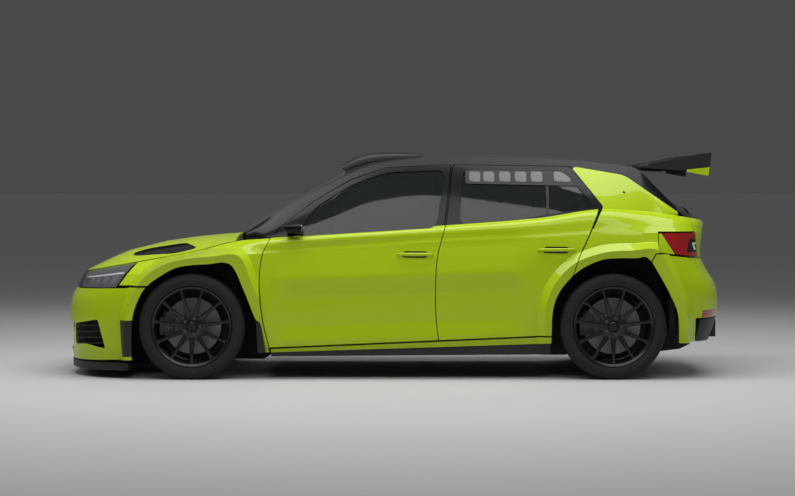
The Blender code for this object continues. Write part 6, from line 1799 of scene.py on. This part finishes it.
@dataclass
class RearEnd(SubAssembly):
    """Rear bumper, diffuser, tail lights and reflectors."""

    side: Outline = ((1.086, .05), (1.086, .50), (1.100, .5525), (1.40, .5525), (1.40, .05))
    lamp_front: float = 1.108
    corner_gap: float = .0015
    diffuser_turn: float = 2.30
    fins: Sequence[float] = (-.42, -.21, 0, .21, .42)
    wedge: Outline = ((655, 228), (720, 228), (720, 236.5), (687.3, 238.2), (681.5, 260), (676.5, 260))
    dark: Outline = ((687.9, 238.6), (720, 236.9), (720, 260), (682.1, 260))
    guide: Outline = ((690, 242.5), (698, 242), (698, 243.6), (692.6, 244.2), (695, 249.2), (692.6, 249.4))
    strip: Outline = ((683, 251.8), (712, 250.5), (712, 260), (682, 260))

    def assemble(self) -> None:
        """The bumper, the diffuser with its fins, the reflectors and the lights."""
        turns = [turn_at(at_x(1.04)), 2.0, 2.25, 2.55, 2.8, 3]
        turns = fine(turns + [6 - t for t in reversed(turns[:-1])], 8)
        bumper = sheet("rear_bumper_skin", skin, fine([0, 1, 1.64, 2, 3, 4 - SHUT], 6), turns, SKIN)
        opening = REAR_ARCH.opening()
        cut(bumper, mirrored(opening), opening)
        kept(bumper, prism(outline_of(self.side), -1, 1))
        lip = kept(REAR_ARCH.lip(), prism(outline_of(self.side), -1, -at_y(.6)))
        combined(bumper, [mirrored(lip), lip], Joining.MERGE)
        low = skin(1.6, 3)
        cut(bumper, block((skin(1, self.diffuser_turn).x, -1, -CUT_OVERRUN), (low.x + CUT_OVERRUN, 1, low.z)))
        self.dress(bumper, LIME, "rear_bumper")
        diffuser = sheet("diffuser_skin", skin, fine([0, 1, 1.6 - SHUT], 6), spaced(2.34, 3.66, 60), SKIN)
        cut(diffuser, block((at_x(1), -1, -CUT_OVERRUN), (skin(1, self.diffuser_turn).x + GAP, 1, 1)))
        self.dress(diffuser, BLACK_SATIN, "rear_diffuser")
        fins = [block((1.80, y - .004, .235), (2.025, y + .004, .345), .001) for y in self.fins]
        self.dress(joined("diffuser_fins", fins), BLACK_SATIN)
        reflector = sheet("reflector_left", skin, spaced(1.66, 2.0, 3), spaced(2.36, 2.62, 12), .004, -.0015)
        self.dress_pair(reflector, LAMP_RED)
        self.build_lamps()

    def place(self, line: float, column: float) -> Vector:
        """The tail light's surface, column 0 at its front to 1 at the tailgate."""
        start = turn_of(line, at_x(self.lamp_front - .003))
        return skin(line, start + (3 - tailgate_half(line) - .024 - start) * column)

    def build_lamps(self) -> None:
        """The tail lights: a red wedge, a dark part with a pale light guide, and the lime corner ahead of them."""
        layers = (
            ("tail_lens_left", self.wedge, .003, 0, LAMP_RED),
            ("tail_dark_left", self.dark, .003, 0, LAMP_DARK),
            ("tail_guide_left", self.guide, .003, -.0008, LAMP_WHITE),
            ("tail_strip_left", self.strip, .003, -.0008, LAMP_RED),
            ("tail_bowl_left", None, .004, .014, LAMP_DARK),
        )
        for name, outline, depth, inset, look in layers:
            made = self.lamp_sheet(name, depth, inset)
            if outline:
                kept(made, prism(pixels(outline, LAMP_PLANE), -1, -at_y(.3)))
            replaced = ("taillight_left",) if name == "tail_lens_left" else ()
            self.dress_pair(made, look, *replaced)
        corner = self.lamp_sheet("tail_corner_left", .006, 0)
        (top_x, top_z), *_, (foot_x, foot_z) = pixels(self.wedge, LAMP_PLANE)
        room = [(top_x - self.corner_gap, top_z), *pixels(((706, 225), (706, 262)), LAMP_PLANE),
                (foot_x - self.corner_gap, foot_z - .010)]
        cut(corner, prism(room, -1, -at_y(.3)))
        self.dress_pair(corner, LIME)

    def lamp_sheet(self, name: str, depth: float, inset: float) -> Piece:
        """A layer of the tail light, with a thickness and an inset behind the body's skin."""
        made = sheet(name, self.place, spaced(4 + SHUT, 5 - SHUT, 10), spaced(0, 1, 24), depth, inset)
        return cut(made, block((at_x(1), -1, at_z(.3)), (at_x(self.lamp_front), -at_y(.4), at_z(.8))))


# ---- Wheels

AXLE = Vector((0, 1, 0))


@dataclass
class Wheel(SubAssembly):
    """A pair of wheels: tyre, rim, spokes, nuts, brake disc and caliper."""

    end: DoorEnd = DoorEnd.FRONT
    x: float = at_x(0)
    carrier: str = "knuckle_left"
    spokes: int = 11
    spoke_ends: Point = (.058, .2275)
    nuts: int = 5
    nut_circle: float = .0495
    nut: Outline = ((.020, .0005), (.020, .0085), (.023, .0105), (.034, .0105), (.034, .0005))
    rim: Outline = ((.004, .2420), (.006, .2432), (.012, .2430), (.014, .2300), (.060, .2296), (.120, .2290),
                            (.214, .2300), (.216, .2430), (.223, .2430), (.224, .2200), (.120, .2180), (.040, .2190),
                            (.016, .2270), (.008, .2340))
    tyre: Outline = ((.0148, .2306), (.0148, .2440), (.0075, .2480), (.0050, .2535), (.0056, .2545),
                             (.0030, .2620), (.0008, .2740), (0, .2850), (.0020, .2950), (.0035, .2970),
                             (.0033, .2990), (.0055, .3040), (.0100, .3120), (.0170, .3175), (.0260, .3210),
                             (.0330, .3225), (.0660, .3225), (.0670, .3165), (.0750, .3165), (.0760, .3225),
                             (.1100, .3225), (.1110, .3165), (.1190, .3165), (.1200, .3225), (.1520, .3225),
                             (.1530, .3165), (.1610, .3165), (.1620, .3225), (.1950, .3225), (.2040, .3200),
                             (.2180, .3120), (.2280, .2850), (.2250, .2620), (.2132, .2440), (.2132, .2306))
    hub: Outline = ((.034, .018), (.034, .030), (.028, .034), (.028, .062), (.030, .066), (.030, .078),
                            (.034, .084), (.060, .085), (.115, .066), (.115, .018))
    cap: Outline = ((.022, .0005), (.022, .024), (.025, .028), (.034, .029), (.034, .0005))
    disc: Outline = ((.115, .075), (.115, .172), (.143, .172), (.143, .075))
    shield: Outline = ((.158, .080), (.158, .212), (.161, .212), (.161, .080))
    caliper: Outline = ((.086, .118), (.084, .176), (.096, .196), (.150, .196), (.150, .179), (.1125, .179),
                                (.1125, .118))
    caliper_span: tuple[float, float] = (2.62, 3.46)

    def assemble(self) -> None:
        """The turned parts, then the spokes, nuts and caliper."""
        end, body = self.end.value, f"wheel_{self.end.value}_left"
        self.centre = Vector((self.x, -WHEEL_FACE_Y, TYRE_RADIUS))
        for name, profile, steps, look, degrees, carrier, nodes in (
            (f"tyre_{end}_tread_left", self.tyre, 128, RUBBER, 35, body, (f"tyre_{end}_left",)),
            (f"rim_{end}_barrel_left", self.rim, 128, WHEEL_BLACK, 30, body, (f"rim_{end}_left",)),
            (f"hub_{end}_left", self.hub, 64, WHEEL_BLACK, 30, body, ()),
            (f"cap_{end}_left", self.cap, 48, WHEEL_BLACK, 30, body, ()),
            (f"disc_{end}_left", self.disc, 96, DISC_STEEL, 30, body, ()),
            (f"shield_{end}_left", self.shield, 64, UNDERBODY, 30, self.carrier, ()),
        ):
            self.dress_pair(spun(profile, self.centre, AXLE, steps, name), look, *nodes, body=carrier, degrees=degrees)
        spokes = repeated(self.build_spoke(), self.centre, AXLE, self.spokes)
        spokes.name = f"spokes_{end}_left"
        self.dress_pair(spokes, WHEEL_BLACK, body=body, degrees=30)
        nut = spun(self.nut, self.centre + Vector((self.nut_circle, 0, 0)), AXLE, 6, "nut")
        nuts = repeated(nut, self.centre, AXLE, self.nuts)
        nuts.name = f"nuts_{end}_left"
        self.dress_pair(nuts, DARK_STEEL, body=body, degrees=30)
        caliper = loft(f"caliper_{end}_left", [[self.at(a, out, w) for w, out in self.caliper]
                                               for a in spaced(*self.caliper_span, 14)])
        self.dress_pair(caliper, DARK_STEEL, body=self.carrier, degrees=30)

    def at(self, angle: float, out: float, depth: float) -> Vector:
        """A point of the wheel: angle from the rear, distance out from the axle, depth from the face."""
        return self.centre + Vector((out * math.cos(angle), depth, out * math.sin(angle)))

    def build_spoke(self) -> Piece:
        """One tapered spoke from the hub to the rim, ridged along its middle.

        Returns:
            The spoke.
        """
        first = -FULL_TURN / 4
        along = Vector((math.cos(first), 0, math.sin(first)))
        side = Vector((-math.sin(first), 0, math.cos(first)))
        start, end = self.spoke_ends
        sections = []
        for t in spaced(0, 1, 14):
            out = start + (end - start) * t
            half = .0165 - .0092 * t + .060 * max(t - .85, 0) + .050 * max(.15 - t, 0)
            face = .032 - .018 * math.sin(math.pi * min(t * .62, .5))
            depth = .030 - .012 * t
            ridge = ((-1, face + .006), (-.72, face + .001), (0, face - .0005), (.72, face + .001), (1, face + .006),
                     (.8, face + depth), (-.8, face + depth))
            sections.append([self.centre + along * out + side * half * share + AXLE * w for share, w in ridge])
        return loft("spoke", sections)


# ---- Cabin


@dataclass
class Cage(SubAssembly):
    """The roll cage's tubes."""

    radius: float = .019
    hoop_x: float = .42
    front_x: float = -.60
    rear_x: float = 1.18

    def paths(self) -> list[list[Triple]]:
        """Main hoop, front hoops, roof bars, door bars and rear stays.

        Returns:
            One list of points for each tube.
        """
        hoop, front, rear = self.hoop_x, self.front_x, self.rear_x
        paths = [[(hoop, -.62, .19), (hoop, -.62, .85), (hoop, -.50, 1.20), (hoop, -.42, 1.27), (hoop, .42, 1.27),
                  (hoop, .50, 1.20), (hoop, .62, .85), (hoop, .62, .19)]]
        for side in (-1, 1):
            paths.append([(front, side * .62, .19), (front, side * .62, .82), (-.20, side * .48, 1.20),
                          (.02, side * .45, 1.25), (hoop, side * .45, 1.26)])
            paths.append([(hoop, side * .46, 1.24), (rear - .1, side * .44, .80), (rear, side * .42, .62),
                          (rear, side * .42, .546)])
            paths.append([(front, side * .62, .30), (hoop, side * .62, .62)])
        return [*paths, [(-.20, -.48, 1.20), (-.20, .48, 1.20)]]

    def assemble(self) -> None:
        """Every tube, in one mesh."""
        bars = [tube(eased(path, 6), self.radius) for path in self.paths()]
        self.dress(joined("cage_tubes", bars), CAGE_WHITE, "roll_cage", degrees=50)


@dataclass
class Seat(SubAssembly):
    """A bucket seat with its harness."""

    side: str = "left"
    y: float = -.36
    stations: Sequence[tuple[float, float, float, float]] = (
        (-.26, .34, .20, .05), (-.10, .33, .21, .09), (.06, .34, .215, .12), (.14, .42, .215, .13),
        (.18, .58, .21, .12), (.22, .76, .21, .13), (.25, .92, .19, .10), (.27, .98, .15, .12), (.30, 1.06, .14, .10))
    cushion_top: float = .40
    back_thickness: float = .035
    cushion_thickness: float = .03
    belt: Outline = ((.262, .97), (.232, .90), (.205, .76), (.165, .58), (.130, .45))

    def assemble(self) -> None:
        """The padded shell on its base, and the two belts."""
        sections = []
        for x, z, half, wing in eased(self.stations, 3):
            lying = z <= self.cushion_top
            front = []
            for s in spaced(-1, 1, 16):
                bolster = wing * abs(s) ** 3
                front.append((x - (0 if lying else bolster), self.y + half * s, z + (bolster if lying else 0)))
            back = [(p[0] + self.back_thickness, p[1], p[2] - (self.cushion_thickness if lying else 0))
                    for p in reversed(front)]
            sections.append(front + back)
        shell = loft("shell", sections)
        base = block((-.25, self.y - .17, .1905), (.10, self.y + .17, .31), .02)
        seat = joined("bucket_" + self.side, [shell, base])
        self.dress(seat, SEAT_CLOTH, "seat_" + self.side, degrees=50)
        belts = []
        for shift in (-.085, .085):
            belts.append(loft("belt", [[(x - d, self.y + shift * (1 + (z - .45) * .5) + e, z) for d, e in
                                        ((.002, -.025), (.002, .025), (.006, .025), (.006, -.025))]
                                       for x, z in eased(self.belt, 5)]))
        self.dress(joined("harness_" + self.side, belts), HARNESS, degrees=40)


@dataclass
class SteeringWheel(SubAssembly):
    """The steering wheel: a padded ring on three spokes and its column."""

    centre: Vector = field(default_factory=lambda: Vector((-.33, -.36, .80)))
    axis: Vector = field(default_factory=lambda: Vector((.92, 0, .39)).normalized())
    radius: float = .165
    grip: float = .014

    def assemble(self) -> None:
        """The ring, its spokes and the column, in one mesh."""
        ring = [(self.grip * math.sin(a), self.radius + self.grip * math.cos(a))
                for a in (FULL_TURN * j / 14 for j in range(14))]
        rim = spun(ring, self.centre, self.axis, 64)
        side, up = Vector((0, 1, 0)), Vector((0, 1, 0)).cross(self.axis)
        bars = [tube([self.centre - side * .16, self.centre + side * .16], .011),
                tube([self.centre - up * .155, self.centre], .010),
                tube([self.centre + self.axis * .022, self.centre - self.axis * .125], .018)]
        self.dress(joined("steering_rim", [rim, *bars]), SEAT_CLOTH, "steering_wheel", body="steering_wheel",
                   degrees=40)


@dataclass
class Underside(SubAssembly):
    """The black guards inside the wheel wells."""

    thickness: float = .010
    guards: Sequence[tuple[str, float, Outline]] = (
        ("guard_nose_left", -.38, ((122, 318), (160, 318), (164, 356), (156, 364), (122, 364))),
        ("guard_front_left", -.38, ((222, 296), (270, 296), (272, 354), (264, 359), (228, 359))),
        ("guard_middle_left", -.55, ((540, 300), (577, 300), (574, 350), (566, 355), (540, 355))),
        ("guard_rear_left", -.55, ((655, 296), (692, 322), (690, 344), (680, 349), (655, 352))))

    def assemble(self) -> None:
        """One guard after another."""
        for name, y, outline in self.guards:
            guard = prism(pixels(outline, y), y, y + self.thickness, radius=.003, name=name)
            self.dress_pair(guard, BLACK_MATT)


@dataclass
class Chassis(SubAssembly):
    """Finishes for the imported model's own pieces that stay in view."""

    frame: dict[str, object] = field(default_factory=dict)
    carried: tuple[tuple[Finish, tuple[str, ...]], ...] = (
        (DARK_STEEL, ("front_subframe", "rear_axle", "steering_rack", "front_knuckle_left", "front_knuckle_right",
                      "front_strut_left", "front_strut_right", "engine_block")),
        (UNDERBODY, ("floor_pan",)), (BLACK_MATT, ("dashboard",)))

    def assemble(self) -> None:
        """Gives each carried node its finish."""
        for look, names in self.carried:
            for name in names:
                node = self.frame["nodes"][name]
                for slot in node.material_slots:
                    slot.material = look.material()
                self.pieces.append(node)


# ---- Studio


@dataclass(frozen=True)
class Lamp:
    """A soft area light."""

    name: str
    place: Triple
    size: tuple[float, float]
    watts: float
    glossy: bool = True
    aim: Triple = (0, 0, .5)

    def light(self) -> None:
        """Puts the lamp in the scene, turned towards the car."""
        data = bpy.data.lights.new(self.name, "AREA")
        data.shape = "RECTANGLE"
        data.size, data.size_y = self.size
        data.energy = self.watts
        lamp = bpy.data.objects.new(self.name, data)
        lamp.visible_glossy = self.glossy
        lamp.location = self.place
        lamp.rotation_euler = (Vector(self.aim) - Vector(self.place)).to_track_quat("-Z", "Y").to_euler()
        bpy.context.scene.collection.objects.link(lamp)


@dataclass
class Studio:
    """Pale floor, soft lights and the photograph's camera."""

    floor: Triple = (.50, .50, .505)
    world: Triple = (.13, .13, .133)
    wall: Triple = (.066, .066, .068)
    lamps: Sequence[Lamp] = (
        Lamp("top", (0, -1.1, 4.8), (7, 2.6), 250), Lamp("side", (-.3, -5.6, 5.4), (8, 2.4), 185),
        Lamp("far_side", (.3, 5.6, 5.4), (8, 2.4), 110, False), Lamp("rear", (7, 0, 3.4), (3, 3), 50, False),
        Lamp("front", (-7, 0, 3.4), (3, 3), 50, False))
    floor_half: float = 900
    floor_roughness: float = .7

    def build(self) -> None:
        """Builds the floor, world, lamps and camera."""
        bm = bmesh.new()
        bmesh.ops.create_grid(bm, x_segments=1, y_segments=1, size=self.floor_half)
        floor = linked("floor", bm)
        floor.data.materials.append(self.floor_material())
        world = bpy.data.worlds.new("studio")
        world.use_nodes = True
        tree, nodes = world.node_tree, Nodes(world.node_tree)
        lit = tree.nodes["Background"]
        lit.inputs["Color"].default_value = (*self.world, 1)
        seen = nodes.add("ShaderNodeBackground", {}, {"Color": (*self.wall, 1)})
        straight = nodes.add("ShaderNodeLightPath", {}, {}, "Is Camera Ray")
        shown = nodes.add("ShaderNodeMixShader", {}, {0: straight, 1: Value(tree, lit.outputs[0]), 2: seen})
        tree.links.new(shown.socket, tree.nodes["World Output"].inputs["Surface"])
        bpy.context.scene.world = world
        for lamp in self.lamps:
            lamp.light()
        lens = bpy.data.cameras.new("photo")
        lens.lens = SENSOR_WIDTH * FOCAL_PIXELS / FRAME_WIDTH
        camera = bpy.data.objects.new("photo", lens)
        camera.location = (CAMERA_X, -CAMERA_OUT, CAMERA_Z)
        camera.rotation_euler = (math.radians(90) - math.atan((FRAME_HEIGHT / 2 - HORIZON) / FOCAL_PIXELS), 0, 0)
        bpy.context.scene.collection.objects.link(camera)
        bpy.context.scene.camera = camera
        bpy.context.scene.view_settings.view_transform = "Standard"

    def floor_material(self) -> bpy.types.Material:
        """The floor's plain rough material.

        Returns:
            The material.
        """
        made = bpy.data.materials.new("floor")
        made.use_nodes = True
        shader = made.node_tree.nodes["Principled BSDF"]
        shader.inputs["Base Color"].default_value = (*self.floor, 1)
        shader.inputs["Roughness"].default_value = self.floor_roughness
        return made


def main() -> None:
    """Loads the frame, builds every sub-assembly and reports each piece."""
    logging.basicConfig(level=logging.INFO, format="%(message)s")
    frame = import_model()
    Studio().build()
    rear_door = Door(DoorEnd.REAR, DOOR_SPLIT_SHARES, DOOR_REAR_SHARES, REAR_FRAME_SHARES, REAR_GLASS_SHARES,
                     (.885, 1.110, .790))
    assemblies: tuple[SubAssembly, ...] = (
        Bonnet(), FrontEnd(), Headlight(), Fender(), Door(), rear_door, WindowVents(), SideFrame(), Mirror(), Roof(),
        Tailgate(), RearEnd(), Wheel(), Wheel(DoorEnd.REAR, at_x(1), "chassis"), Cage(), Seat(), Seat("right", .36),
        SteeringWheel(), Underside(), Chassis(frame))
    for assembly in assemblies:
        for piece in assembly.build():
            LOG.info("%s: %s, %d faces", type(assembly).__name__, piece.name, len(piece.data.polygons))


if __name__ == "__main__":
    main()
